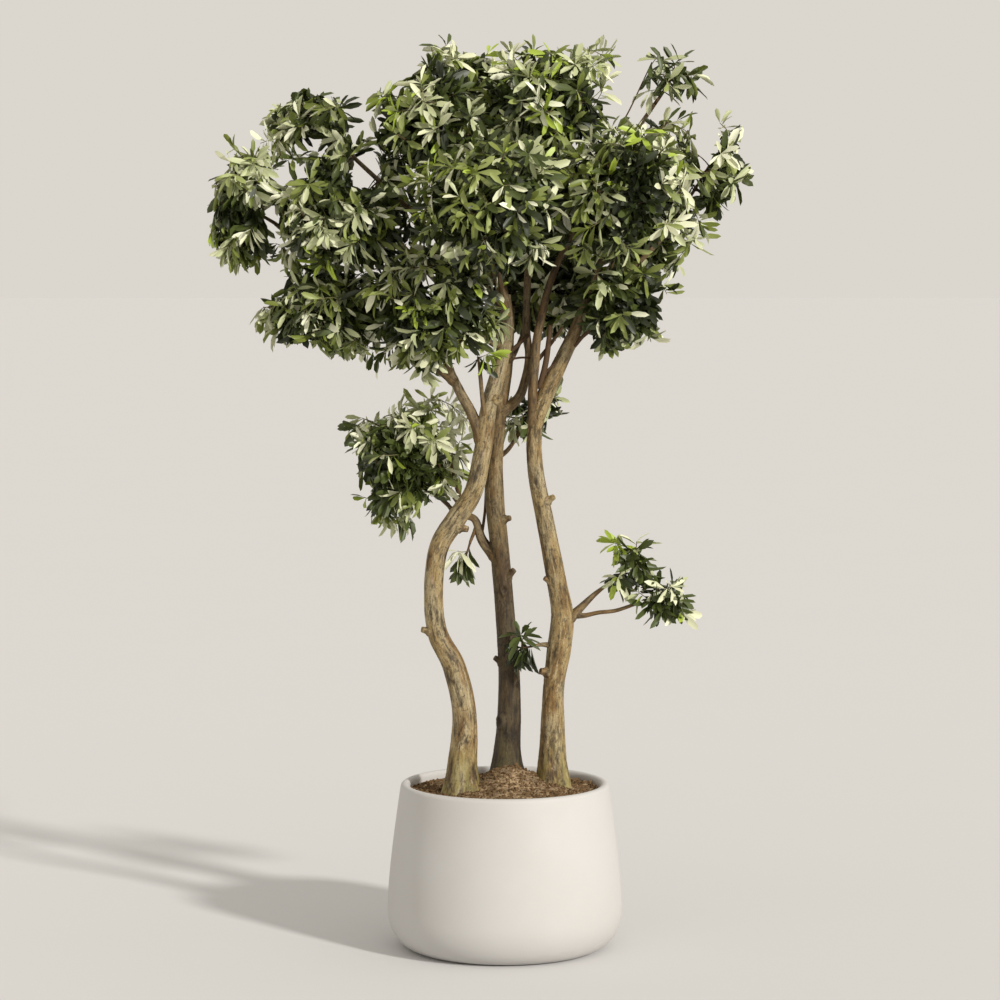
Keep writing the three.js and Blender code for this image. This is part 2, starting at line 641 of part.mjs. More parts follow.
for (const [name, points] of Object.entries(STEM_ROUTES)) {
  addStem(name, points);
}
for (const [name, spec] of Object.entries(BOUGHS)) {
  addBough(name, spec);
}

addPiece('pot', planterGeometry(), 'pot');
const stemNames = Object.keys(STEM_ROUTES);
const soil = stemNames.reduce((rest, name) => rest.subtract(limbs[name].clear), solidOf(soilGeometry()));
addPiece('soil', geometryOf(largestBody(soil)), 'soil');
for (const [name, limb] of Object.entries(limbs)) {
  addPiece(name, geometryOf(limb.solid), 'bark');
}

const obstacles = joined(Object.values(limbs).map((limb) => limb.clear));
for (const name of Object.keys(MASSES)) {
  addPiece(name, geometryOf(massSolid(name, obstacles)), 'leaves');
}

export default tree;
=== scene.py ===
"""A potted olive tree: planter, soil, three old stems, their boughs and a crown of small leaves.

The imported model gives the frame. Every limb and every mass of leaves keeps the place and reach of its
own node. The masses are grown again here by the same seeded rule, carried on to fine twigs and whorls of
leaves. Lengths are millimetres in the classes and metres in the meshes.
"""

from __future__ import annotations

import json
import logging
import math
from dataclasses import dataclass, field
from enum import Enum
from typing import Any, Iterable, Sequence

import bpy
import numpy as np
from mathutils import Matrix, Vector

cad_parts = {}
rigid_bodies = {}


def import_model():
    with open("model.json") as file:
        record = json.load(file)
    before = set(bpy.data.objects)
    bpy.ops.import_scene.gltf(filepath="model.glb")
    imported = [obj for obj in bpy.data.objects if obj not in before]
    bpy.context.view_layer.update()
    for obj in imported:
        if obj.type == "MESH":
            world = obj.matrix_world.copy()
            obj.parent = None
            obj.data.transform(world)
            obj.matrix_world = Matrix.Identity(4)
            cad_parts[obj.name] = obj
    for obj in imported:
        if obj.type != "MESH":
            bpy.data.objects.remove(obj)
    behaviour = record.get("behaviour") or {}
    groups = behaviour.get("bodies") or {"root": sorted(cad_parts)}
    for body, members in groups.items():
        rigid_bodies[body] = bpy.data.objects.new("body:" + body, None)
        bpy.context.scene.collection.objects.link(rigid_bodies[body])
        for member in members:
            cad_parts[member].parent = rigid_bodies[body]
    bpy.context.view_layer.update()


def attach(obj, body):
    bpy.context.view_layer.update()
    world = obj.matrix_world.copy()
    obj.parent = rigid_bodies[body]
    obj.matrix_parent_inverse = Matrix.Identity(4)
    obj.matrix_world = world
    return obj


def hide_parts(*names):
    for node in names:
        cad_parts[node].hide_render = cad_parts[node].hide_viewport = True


MM = 0.001
BODY = "root"
GOLDEN_ANGLE = math.pi * (3.0 - math.sqrt(5.0))
# Three steps of the generalised golden ratio: each further point falls in the widest space left.
GOLDEN_STEP = np.array([0.8191725133961645, 0.6710436067037893, 0.5497004779019703])
UP = np.array([0.0, 0.0, 1.0])
FIRST_BOUGH_SEED = 60

log = logging.getLogger("olive_tree")


class Slot(Enum):
    """The record's material slots."""

    PLANTER = "planter"
    SOIL = "soil"
    BARK = "bark"
    BOUGH_BARK = "bough_bark"
    FOLIAGE = "foliage"


# ---------------------------------------------------------------- small maths


def unit(vector: np.ndarray) -> np.ndarray:
    """Scales a vector, or each row of vectors, to length 1."""
    return vector / np.maximum(np.linalg.norm(vector, axis=-1, keepdims=True), 1e-9)


def lerp(low: Any, high: Any, share: Any) -> Any:
    """Goes from low to high as share goes from 0 to 1."""
    return low + (high - low) * share


def smooth_step(low: float, high: float, value: np.ndarray) -> np.ndarray:
    """Rises smoothly from 0 at low to 1 at high."""
    share = np.clip((value - low) / (high - low), 0.0, 1.0)
    return share * share * (3.0 - 2.0 * share)


def run_along(centres: np.ndarray) -> np.ndarray:
    """Length along a line up to each of its points."""
    return np.concatenate([[0.0], np.cumsum(np.linalg.norm(np.diff(centres, axis=0), axis=1))])


def ring_angles(sides: int) -> np.ndarray:
    """Turns of the corners of a ring, in radians."""
    return np.arange(sides) * (2.0 * math.pi / sides)


def linear(red: int, green: int, blue: int) -> tuple[float, float, float, float]:
    """Turns a display colour of 0 to 255 a channel into the linear colour that the shaders take.

    Args:
        red: Red, 0 to 255.
        green: Green, 0 to 255.
        blue: Blue, 0 to 255.

    Returns:
        The linear red, green, blue and an alpha of 1.
    """
    channels = [c / 255.0 for c in (red, green, blue)]
    return (*[c / 12.92 if c <= 0.04045 else ((c + 0.055) / 1.055) ** 2.4 for c in channels], 1.0)


class SeededNumbers:
    """A repeatable stream of numbers from 0 to 1, the same as the source's."""

    MASK = 0xFFFFFFFF

    def __init__(self, seed: int) -> None:
        """Starts the stream at a seed."""
        self.state = seed & self.MASK

    def __call__(self) -> float:
        """Gives the next number.

        Returns:
            A number from 0 up to 1.
        """
        self.state = (self.state + 0x6D2B79F5) & self.MASK
        state = self.state
        mixed = ((state ^ (state >> 15)) * (1 | state)) & self.MASK
        turned = ((mixed ^ (mixed >> 7)) * (61 | mixed)) & self.MASK
        mixed = ((mixed + turned) & self.MASK) ^ mixed
        return (mixed ^ (mixed >> 14)) / 4294967296.0

    def between(self, low: float, high: float) -> float:
        """Gives the next number, spread from low to high."""
        return lerp(low, high, self())


class Relief:
    """Repeatable noise on points, for the shapes of bark and soil."""

    @staticmethod
    def _hashed(x: np.ndarray, y: np.ndarray, z: np.ndarray, seed: int) -> np.ndarray:
        """Gives each lattice point a number of its own.

        Args:
            x: Lattice places along X.
            y: Lattice places along Y.
            z: Lattice places along Z.
            seed: Which of the noises.

        Returns:
            A number from 0 to 1 for each.
        """
        mixed = x * np.uint32(374761393) + y * np.uint32(668265263) + z * np.uint32(2246822519)
        mixed = mixed + np.uint32((seed * 3266489917) & 0xFFFFFFFF)
        mixed = (mixed ^ (mixed >> np.uint32(13))) * np.uint32(1274126177)
        mixed = (mixed ^ (mixed >> np.uint32(15))) * np.uint32(2654435761)
        return (mixed ^ (mixed >> np.uint32(16))).astype(np.float64) / 4294967295.0

    @classmethod
    def noise(cls, points: np.ndarray, seed: int) -> np.ndarray:
        """Smooth noise of one lattice step.

        Args:
            points: Places in lattice steps, one a row.
            seed: Which of the noises.

        Returns:
            A number from 0 to 1 for each place.
        """
        floor = np.floor(points)
        rest = points - floor
        ease = rest * rest * (3.0 - 2.0 * rest)
        lattice = floor.astype(np.int64).astype(np.uint32)
        total = np.zeros(len(points))
        for corner in range(8):
            steps = [(corner >> axis) & 1 for axis in range(3)]
            weight = np.ones(len(points))
            for axis, step in enumerate(steps):
                weight *= ease[:, axis] if step else 1.0 - ease[:, axis]
            x, y, z = (lattice[:, axis] + np.uint32(step) for axis, step in enumerate(steps))
            total += weight * cls._hashed(x, y, z, seed)
        return total

    @classmethod
    def layers(cls, points: np.ndarray, seed: int, octaves: int = 3) -> np.ndarray:
        """Sums octaves of noise, each half as strong and twice as fine.

        Args:
            points: Places in lattice steps, one a row.
            seed: Which of the noises.
            octaves: How many are summed.

        Returns:
            A number from 0 to 1 for each place.
        """
        total, weight, whole = np.zeros(len(points)), 1.0, 0.0
        for octave in range(octaves):
            total += weight * cls.noise(points * 2.0**octave, seed + octave * 17)
            whole += weight
            weight *= 0.5
        return total / whole


# ---------------------------------------------------------------- meshes from arrays


class MeshDraft:
    """Points and faces that are gathered as arrays and made into one mesh."""

    def __init__(self) -> None:
        """Starts empty."""
        self.points: list[np.ndarray] = []
        self.faces: list[np.ndarray] = []
        self.finishes: list[np.ndarray] = []
        self.marks: dict[str, list[np.ndarray]] = {}
        self.count = 0

    def add(self, points: np.ndarray, faces: Iterable[tuple[np.ndarray, int]], **marks: np.ndarray) -> None:
        """Adds a shape.

        Args:
            points: Its corners in millimetres, one a row.
            faces: Pairs of an array of faces with the same number of corners, and their material index.
            **marks: Values for each corner, by the name of the attribute that carries them.
        """
        for rows, finish in faces:
            self.faces.append(np.asarray(rows, dtype=np.int64) + self.count)
            self.finishes.append(np.full(len(rows), finish, dtype=np.int32))
        self.points.append(np.asarray(points, dtype=np.float64))
        self.count += len(points)
        for name, values in marks.items():
            self.marks.setdefault(name, []).append(np.asarray(values, dtype=np.float64))

    def build(self, name: str, smooth_angle: float | None = None) -> bpy.types.Object:
        """Makes the mesh and its object, which sits at the origin.

        Args:
            name: Name of the object.
            smooth_angle: Edges that turn by less than this many degrees are shaded smooth; None is all.

        Returns:
            The new object.
        """
        points = np.concatenate(self.points) * MM
        corners = np.concatenate([rows.ravel() for rows in self.faces])
        sizes = np.concatenate([np.full(len(rows), rows.shape[1]) for rows in self.faces])
        starts = np.concatenate([[0], np.cumsum(sizes)[:-1]])
        mesh = bpy.data.meshes.new(name)
        mesh.vertices.add(len(points))
        mesh.vertices.foreach_set("co", points.ravel())
        mesh.loops.add(len(corners))
        mesh.loops.foreach_set("vertex_index", corners)
        mesh.polygons.add(len(sizes))
        mesh.polygons.foreach_set("loop_start", starts)
        mesh.polygons.foreach_set("material_index", np.concatenate(self.finishes))
        mesh.polygons.foreach_set("use_smooth", np.ones(len(sizes), dtype=bool))
        mesh.update(calc_edges=True)
        mesh.validate()
        for mark, chunks in self.marks.items():
            values = np.concatenate(chunks)
            kind = "FLOAT" if values.ndim == 1 else "FLOAT_VECTOR"
            attribute = mesh.attributes.new(mark, kind, "POINT")
            attribute.data.foreach_set("value" if values.ndim == 1 else "vector", values.ravel())
        piece = bpy.data.objects.new(name, mesh)
        bpy.context.collection.objects.link(piece)
        if smooth_angle is not None:
            smooth_below(piece, smooth_angle)
        return piece


def smooth_below(piece: bpy.types.Object, degrees: float) -> None:
    """Shades a piece smooth, but for edges that turn by more than some degrees.

    Args:
        piece: The piece.
        degrees: The sharpest turn that is shaded smooth.
    """
    bpy.ops.object.select_all(action="DESELECT")
    piece.select_set(True)
    bpy.context.view_layer.objects.active = piece
    bpy.ops.object.shade_smooth_by_angle(angle=math.radians(degrees))
    piece.select_set(False)


def ring_frames(centres: np.ndarray) -> tuple[np.ndarray, np.ndarray]:
    """Two directions square to a line, turned as little as possible from point to point.

    Args:
        centres: Points of the line, one a row.

    Returns:
        For each point the unit directions across and beside.
    """
    along = unit(np.gradient(centres, axis=0))
    across = np.cross(np.array([0.0, 1.0, 0.0]), along[0])
    if np.linalg.norm(across) < 0.3:
        across = np.array([1.0, 0.0, 0.0])
    rows = []
    for direction in along:
        across = unit(across - direction * float(across @ direction))
        rows.append(across)
    sideways = np.array(rows)
    return sideways, np.cross(along, sideways)


def tube(
    centres: np.ndarray, radii: np.ndarray, sides: int,
) -> tuple[np.ndarray, list[tuple[np.ndarray, int]]]:
    """A closed tube round a line.

    Args:
        centres: Points of the line, one a row.
        radii: Radius at each point, or at each point and side.
        sides: Number of sides.

    Returns:
        The corners, ring after ring, and the faces with material index 0.
    """
    across, beside = ring_frames(centres)
    angles = ring_angles(sides)[None, :, None]
    girth = radii[:, None] * np.ones(sides) if radii.ndim == 1 else radii
    spokes = np.cos(angles) * across[:, None] + np.sin(angles) * beside[:, None]
    points = (centres[:, None] + spokes * girth[:, :, None]).reshape(-1, 3)
    rings = len(centres)
    first = (np.arange(rings - 1)[:, None] * sides + np.arange(sides)[None]).ravel()
    after = (np.arange(rings - 1)[:, None] * sides + np.roll(np.arange(sides), -1)[None]).ravel()
    walls = np.stack([first, after, after + sides, first + sides], axis=1)
    foot = np.arange(sides)[::-1][None]
    tip = (np.arange(sides) + (rings - 1) * sides)[None]
    return points, [(walls, 0), (foot, 0), (tip, 0)]


# ---------------------------------------------------------------- shader maths


class Field:
    """A shader value or vector that Python expressions can be written on."""

    def __init__(self, bench: "Bench", socket: bpy.types.NodeSocket) -> None:
        """Wraps an output socket of a bench's node tree."""
        self.bench = bench
        self.socket = socket

    def __add__(self, other: Any) -> "Field":
        """Adds."""
        return self.bench.math("ADD", self, other)

    def __sub__(self, other: Any) -> "Field":
        """Takes other away."""
        return self.bench.math("SUBTRACT", self, other)

    def __mul__(self, other: Any) -> "Field":
        """Multiplies."""
        return self.bench.math("MULTIPLY", self, other)

    def above(self, low: float, high: float) -> "Field":
        """Rises from 0 at low to 1 at high.

        Args:
            low: Where it starts to rise, or to fall if it is more than high.
            high: Where it reaches 1.

        Returns:
            The new field.
        """
        settings = {"interpolation_type": "SMOOTHSTEP"}
        sockets = {"Value": self, "From Min": low, "From Max": high}
        return self.bench.node("ShaderNodeMapRange", settings, sockets, "Result")


class Bench:
    """One material's node tree, and the few ways in which nodes are added to it."""

    def __init__(self, name: str) -> None:
        """Makes an empty node material.

        Args:
            name: The material's name.
        """
        self.material = bpy.data.materials.new(name)
        self.material.use_nodes = True
        self.tree = self.material.node_tree
        self.tree.nodes.clear()

    def node(
        self, kind: str, settings: dict[str, Any] | None = None, sockets: dict[Any, Any] | None = None,
        output: Any = 0,
    ) -> Field:
        """Adds a node.

        Args:
            kind: The node's type.
            settings: Its settings, which are set first.
            sockets: Values or fields for its inputs, by name or number.
            output: The name or number of the output that is given back.

        Returns:
            That output, as a field.
        """
        node = self.tree.nodes.new(kind)
        for name, value in (settings or {}).items():
            setattr(node, name, value)
        for name, value in (sockets or {}).items():
            if isinstance(value, Field):
                self.tree.links.new(value.socket, node.inputs[name])
            else:
                node.inputs[name].default_value = value
        return Field(self, node.outputs[output])

    def math(self, operation: str, first: Any, second: Any) -> Field:
        """Adds a Math node on two numbers or fields."""
        return self.node("ShaderNodeMath", {"operation": operation}, {0: first, 1: second})

    def mix(self, share: Any, first: Any, second: Any) -> Field:
        """Mixes two colours: all first at share 0, all second at share 1."""
        return self.node("ShaderNodeMix", {"data_type": "RGBA"}, {0: share, 6: first, 7: second}, 2)

    def coats(self, ground: Any, coats: Iterable[tuple[Any, float, tuple[int, int, int]]]) -> Any:
        """Lays colours over a ground, one after another.

        Args:
            ground: The colour below.
            coats: Where each coat lies, how strong it is there, and its display colour.

        Returns:
            The colour that shows.
        """
        for place, strength, colour in coats:
            ground = self.mix(place * strength, ground, linear(*colour))
        return ground

    def place(self, scale: Sequence[float] = (1.0, 1.0, 1.0), mark: str | None = None) -> Field:
        """Coordinates to draw a pattern at.

        Args:
            scale: How they are stretched along each axis.
            mark: The attribute that carries them; None stands for the object's own.

        Returns:
            The coordinates.
        """
        if mark is None:
            source = self.node("ShaderNodeTexCoord", output="Object")
        else:
            source = self.node("ShaderNodeAttribute", {"attribute_name": mark}, output="Vector")
        return self.node("ShaderNodeMapping", sockets={"Vector": source, "Scale": tuple(scale)})

    def mark(self, name: str) -> Field:
        """The value of a number attribute."""
        return self.node("ShaderNodeAttribute", {"attribute_name": name}, output="Fac")

    def noise(self, vector: Field, scale: float, detail: float = 3.0, roughness: float = 0.55) -> Field:
        """Noise of about 0 to 1 at a vector."""
        sockets = {"Vector": vector, "Scale": scale, "Detail": detail, "Roughness": roughness}
        return self.node("ShaderNodeTexNoise", sockets=sockets)

    def grain_tone(self, vector: Field, scale: float) -> Field:
        """A number of its own for each cell of a cell pattern at a vector.

        Args:
            vector: Where the pattern is drawn.
            scale: How fine it is.

        Returns:
            The number.
        """
        sockets = {"Vector": vector, "Scale": scale}
        cells = self.node("ShaderNodeTexVoronoi", sockets=sockets, output="Color")
        return self.node("ShaderNodeSeparateColor", sockets={0: cells})

    def height(self) -> Field:
        """Height above the ground, in metres."""
        return self.node("ShaderNodeSeparateXYZ", sockets={0: self.place()}, output="Z")

    def bump(self, height: Field, distance: float, strength: float = 1.0) -> Field:
        """A normal that stands for small relief, distance high in metres."""
        sockets = {"Height": height, "Distance": distance, "Strength": strength}
        return self.node("ShaderNodeBump", sockets=sockets)

    def finish(self, **sockets: Any) -> bpy.types.Material:
        """Adds the surface shader.

        Args:
            **sockets: Values and fields for its inputs, by name with _ for a space.

        Returns:
            The finished material.
        """
        named = {name.replace("_", " "): value for name, value in sockets.items()}
        surface = self.node("ShaderNodeBsdfPrincipled", sockets=named)
        output = self.tree.nodes.new("ShaderNodeOutputMaterial")
        self.tree.links.new(surface.socket, output.inputs[0])
        return self.material


# ---------------------------------------------------------------- finishes


@dataclass(frozen=True)
class StoneFinish:
    """The planter's smooth matt cast stone."""

    base: tuple[int, int, int] = (197, 195, 192)
    cloud: tuple[int, int, int] = (192, 189, 185)
    pore: tuple[int, int, int] = (180, 172, 160)

    def material(self) -> bpy.types.Material:
        """Builds the material: faint clouds, fine pores and an uneven matt.

        Returns:
            The material.
        """
        bench = Bench("cast_stone")
        place = bench.place()
        clouds = bench.noise(place, 5.0, 4.0).above(0.35, 0.7)
        pores = bench.noise(place, 420.0, 2.0)
        colour = bench.coats(linear(*self.base), (
            (clouds, 0.6, self.cloud),
            (pores.above(0.62, 0.8), 0.1, self.pore),
        ))
        rough = bench.noise(place, 30.0, 3.0) * 0.12 + 0.6
        return bench.finish(Base_Color=colour, Roughness=rough, Normal=bench.bump(pores, 0.00012, 0.5))


@dataclass(frozen=True)
class SoilFinish:
    """Dry potting soil under the loose crumbs."""

    dark: tuple[int, int, int] = (104, 82, 56)
    light: tuple[int, int, int] = (180, 154, 118)
    damp: tuple[int, int, int] = (52, 39, 26)

    def material(self) -> bpy.types.Material:
        """Builds the material: grains of several browns, darker where it is damp.

        Returns:
            The material.
        """
        bench = Bench("potting_soil")
        place = bench.place()
        damp = bench.noise(place, 14.0, 3.0).above(0.45, 0.7)
        colour = bench.coats(linear(*self.dark), (
            (bench.grain_tone(place, 260.0), 1.0, self.light),
            (damp, 0.45, self.damp),
        ))
        height = bench.noise(place, 300.0, 4.0)
        return bench.finish(Base_Color=colour, Roughness=0.95, Normal=bench.bump(height, 0.002, 0.9))


@dataclass(frozen=True)
class BarkFinish:
    """Bark of the stems or boughs. Its pattern follows the limb, by the attribute that its skin carries."""

    name: str
    ground: tuple[int, int, int]
    warm: tuple[int, int, int]
    grey: tuple[int, int, int]
    fleck: tuple[int, int, int]
    pale: tuple[int, int, int]
    bare: tuple[int, int, int] = (188, 156, 138)
    moss: tuple[int, int, int] = (146, 142, 76)
    mossiness: float = 0.0
    # Painted shade: how strongly the bark is darkened towards the foot, and high up where the crown hangs
    # over it.
    shaded_foot: float = 0.0
    shaded_top: float = 0.45

    def material(self) -> bpy.types.Material:
        """Builds the material: long patches, flecks and cracks along the grain, moss at the foot, and
        painted shade in the cracks, high up under the crown and, where set, at the foot.

        Returns:
            The material.
        """
        bench = Bench(self.name)
        slow, fast, spots = (bench.place((1.0, 1.0, along), "grain") for along in (0.3, 0.16, 0.5))
        height = bench.height()
        patches = bench.noise(slow, 34.0, 4.0, 0.6)
        warmth = bench.noise(slow, 21.0, 4.0, 0.6)
        shade = bench.noise(slow, 60.0, 4.0, 0.65)
        streaks = bench.noise(fast, 130.0, 5.0, 0.7)
        fleck = bench.noise(spots, 210.0, 4.0, 0.75)
        fine = bench.noise(spots, 520.0, 3.0, 0.6)
        peeled = bench.noise(spots, 90.0, 2.0)
        tufts = bench.noise(slow, 60.0, 3.0)
        colour = bench.coats(linear(*self.ground), (
            (patches.above(0.4, 0.62), 1.0, self.grey),
            (warmth.above(0.48, 0.62), 0.85, self.warm),
            (shade.above(0.52, 0.32), 0.75, self.fleck),
            (streaks.above(0.5, 0.32), 0.75, self.fleck),
            (streaks.above(0.54, 0.68), 0.6, self.pale),
            (fleck.above(0.57, 0.66), 0.8, self.fleck),
            (fine.above(0.56, 0.68), 0.65, self.fleck),
            (peeled.above(0.69, 0.76), 0.5, self.bare),
            (height.above(0.56, 0.4) * tufts.above(0.35, 0.6), self.mossiness, self.moss),
            # Painted shade high up under the crown, and at the foot of a stem that stands in the shadow of
            # the others.
            (height.above(1.36, 1.62), self.shaded_top, self.fleck),
            (height.above(1.2, 0.8), self.shaded_foot, self.fleck),
            # Cracks, pits and knot lines, dark partly in their own colour and partly as painted shade.
            (bench.mark("crack"), 0.7, self.fleck),
        ))
        relief = streaks * 0.6 + fleck * 0.4 - fine * 0.2
        return bench.finish(
            Base_Color=colour, Roughness=streaks * 0.2 + 0.62, Normal=bench.bump(relief, 0.0018, 0.9),
        )


class LimbBark(Enum):
    """The barks: of the stems in the light, of the one in the shade as a darker copy with painted shade,
    and of the boughs, darker partly as painted shade under the crown.
    """

    STEM = BarkFinish(
        "stem_bark", (153, 130, 85), (118, 86, 40), (164, 148, 112), (36, 25, 12), (204, 188, 150),
        mossiness=0.5,
    )
    # Painted shade: the stem bark again, darker all over and darker still at the foot.
    SHADED_STEM = BarkFinish(
        "shaded_stem_bark", (130, 106, 64), (100, 72, 32), (142, 124, 88), (28, 20, 9), (176, 157, 116),
        mossiness=0.5, shaded_foot=0.68,
    )
    # Darker than the stems' bark, partly as painted shade under the crown.
    BOUGH = BarkFinish(
        "bough_bark", (122, 98, 60), (106, 78, 40), (132, 114, 82), (40, 29, 15), (160, 142, 106),
        shaded_top=0.2,
    )


@dataclass(frozen=True)
class SawnFinish:
    """The weathered end of a sawn-off stub."""

    wood: tuple[int, int, int] = (150, 128, 98)
    grey: tuple[int, int, int] = (112, 92, 68)

    def material(self) -> bpy.types.Material:
        """Builds the material: greyed wood with fine checks.

        Returns:
            The material.
        """
        bench = Bench("sawn_wood")
        checks = bench.noise(bench.place(), 260.0, 3.0)
        colour = bench.mix(checks, linear(*self.wood), linear(*self.grey))
        return bench.finish(Base_Color=colour, Roughness=0.85, Normal=bench.bump(checks, 0.0008, 0.7))


@dataclass(frozen=True)
class PlainFinish:
    """One even colour, as a small thing among thousands has."""

    name: str
    colour: tuple[int, int, int]
    roughness: float = 0.8
    specular: float = 0.4

    def material(self) -> bpy.types.Material:
        """Builds the material.

        Returns:
            The material.
        """
        bench = Bench(self.name)
        return bench.finish(
            Base_Color=linear(*self.colour), Roughness=self.roughness, Specular_IOR_Level=self.specular,
        )


@dataclass(frozen=True)
class FloorFinish:
    """The plain pale floor."""

    base: tuple[int, int, int] = (213, 212, 211)
    cloud_depth: float = 0.985

    def material(self) -> bpy.types.Material:
        """Builds the material: faint clouds on a matt ground.

        Returns:
            The material.
        """
        bench = Bench("studio_floor")
        clouds = bench.noise(bench.place(), 1.2, 3.0)
        base = linear(*self.base)
        darker = tuple(c * self.cloud_depth for c in base[:3]) + (1.0,)
        colour = bench.mix(clouds, base, darker)
        return bench.finish(Base_Color=colour, Roughness=0.9, Specular_IOR_Level=0.1)


class CrumbTone(Enum):
    """The colours of crumbs of soil: colour, roughness and share of the crumbs."""

    DARK = ((110, 87, 60), 0.95, 0.18)
    BROWN = ((160, 134, 98), 0.95, 0.34)
    TAN = ((202, 178, 141), 0.95, 0.30)
    PALE = ((233, 219, 191), 0.9, 0.18)


class TwigWood(Enum):
    """The wood of twigs: of those that carry others, and of the youngest."""

    BROWN = PlainFinish("twig_brown", (86, 66, 46), 0.75, 0.25)
    YOUNG = PlainFinish("twig_young", (122, 116, 78), 0.65, 0.3)


class LeafTone(Enum):
    """The colours that are dealt out to leaves by spray: top, underside with margin, and share of them."""

    # The deep tones, top and underside alike, stand for painted shade, and the palest tops for painted
    # sunlight and sheen, with the leaves' own tones between.
    DEEP = ((38, 47, 15), (146, 152, 108), 0.15)
    DUSKY = ((70, 81, 33), (172, 177, 126), 0.15)
    OLIVE = ((117, 127, 55), (212, 215, 160), 0.16)
    MOSS = ((150, 160, 91), (226, 227, 182), 0.15)
    FRESH = ((166, 186, 66), (226, 231, 156), 0.04)
    SAGE = ((186, 192, 146), (240, 240, 208), 0.16)
    PALE = ((218, 220, 184), (246, 245, 218), 0.12)
    CREAM = ((238, 239, 211), (250, 249, 229), 0.07)


# The shares of the tones, summed from the deepest to the palest.
TONE_SHARES = np.cumsum([tone.value[2] for tone in LeafTone])


# ---------------------------------------------------------------- planter and soil


def dress(
    piece: bpy.types.Object, finishes: Sequence[bpy.types.Material], nodes: Sequence[str],
) -> None:
    """Gives a piece its materials and ties it to the frame.

    Args:
        piece: The new piece.
        finishes: Its materials in slot order.
        nodes: The nodes that it stands for.
    """
    piece.data.materials.clear()
    for finish in finishes:
        piece.data.materials.append(finish)
    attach(piece, BODY)
    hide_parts(*nodes)
    triangles = sum(len(face.vertices) - 2 for face in piece.data.polygons)
    log.info("%s: %d triangles", piece.name, triangles)


class Turned:
    """Makes round pieces by extruding a disc ring after ring."""

    @staticmethod
    def turn(name: str, profile: Sequence[tuple[float, float]], segments: int) -> bpy.types.Object:
        """Turns a profile about Z.

        Args:
            name: Name of the piece.
            profile: Radius and height of each ring in millimetres; the first and last are capped.
            segments: Number of corners in each ring.

        Returns:
            The closed piece, with outward normals and its place in its mesh.
        """
        bpy.ops.object.select_all(action="DESELECT")
        radius, height = profile[0]
        bpy.ops.mesh.primitive_circle_add(
            vertices=segments, radius=radius * MM, fill_type="NGON", location=(0.0, 0.0, height * MM),
        )
        piece = bpy.context.active_object
        bpy.ops.object.transform_apply(location=True, rotation=True, scale=True)
        bpy.ops.object.mode_set(mode="EDIT")
        bpy.ops.mesh.select_mode(type="FACE")
        bpy.ops.mesh.select_all(action="SELECT")
        for next_radius, next_height in profile[1:]:
            rise = (0.0, 0.0, (next_height - height) * MM)
            bpy.ops.mesh.extrude_region_move(TRANSFORM_OT_translate={"value": rise})
            share = next_radius / radius
            centre = (0.0, 0.0, next_height * MM)
            bpy.ops.transform.resize(value=(share, share, 1.0), center_override=centre)
            radius, height = next_radius, next_height
        bpy.ops.mesh.select_all(action="SELECT")
        bpy.ops.mesh.remove_doubles(threshold=1e-6)
        bpy.ops.mesh.normals_make_consistent(inside=False)
        bpy.ops.object.mode_set(mode="OBJECT")
        piece.name = name
        return piece


@dataclass
class Planter(Turned):
    """The round planter: a rounded foot, a full belly, a side that leans in and a soft lip."""

    height: float = 412.0
    foot_radius: float = 220.0
    belly_radius: float = 293.0
    belly_height: float = 95.0
    rim_radius: float = 260.0
    mouth_radius: float = 238.0
    shoulder_height: float = 180.0
    lip_drop: float = 11.0
    inner_foot_radius: float = 258.0
    floor_thickness: float = 28.0
    foot_chamfer: float = 6.0
    lip_roll: float = 1.5
    segments: int = 144
    steps: int = 12
    lip_steps: int = 6
    wall_shares: tuple[float, ...] = (0.02, 0.08, 0.3, 0.65, 1.0)
    smooth_angle: float = 35.0

    @staticmethod
    def bend(
        start: Sequence[float], bow: Sequence[float], end: Sequence[float], steps: int,
    ) -> list[tuple[float, float]]:
        """Points of a quadratic curve, without its start.

        Args:
            start: Radius and height of its start.
            bow: The point that the curve bends towards.
            end: Radius and height of its end.
            steps: How many points.

        Returns:
            Radius and height of each point.
        """
        shares = [(i + 1) / steps for i in range(steps)]
        return [
            tuple((1 - t) ** 2 * a + 2 * t * (1 - t) * b + t * t * c for a, b, c in zip(start, bow, end))
            for t in shares
        ]

    def profile(self) -> list[tuple[float, float]]:
        """The outline from the underside's edge round the lip to the inner floor.

        Returns:
            Radius and height of each ring.
        """
        rows = [(self.foot_radius - self.foot_chamfer, 0.0), (self.foot_radius, 0.0)]
        for i in range(self.steps):
            angle = (i + 1) / self.steps * math.pi / 2
            spread = (self.belly_radius - self.foot_radius) * math.sin(angle)
            rows.append((self.foot_radius + spread, self.belly_height * (1 - math.cos(angle))))
        belly = (self.belly_radius, self.belly_height)
        shoulder = (self.belly_radius, self.shoulder_height)
        outer_lip = (self.rim_radius, self.height - self.lip_drop)
        inner_lip = (self.mouth_radius, self.height - self.lip_drop)
        top = ((self.rim_radius + self.mouth_radius) / 2, self.height)
        inner_foot = (self.inner_foot_radius, self.floor_thickness)
        rows += self.bend(belly, shoulder, outer_lip, 2 * self.steps)
        rows += self.bend(outer_lip, (self.rim_radius - self.lip_roll, self.height), top, self.lip_steps)
        rows += self.bend(top, (self.mouth_radius + self.lip_roll, self.height), inner_lip, self.lip_steps)
        for share in self.wall_shares:
            rows.append(tuple(lerp(a, b, share) for a, b in zip(inner_lip, inner_foot)))
        return rows

    def build(self) -> None:
        """Builds and dresses the planter."""
        piece = self.turn("planter", self.profile(), self.segments)
        smooth_below(piece, self.smooth_angle)
        dress(piece, [StoneFinish().material()], ["pot"])


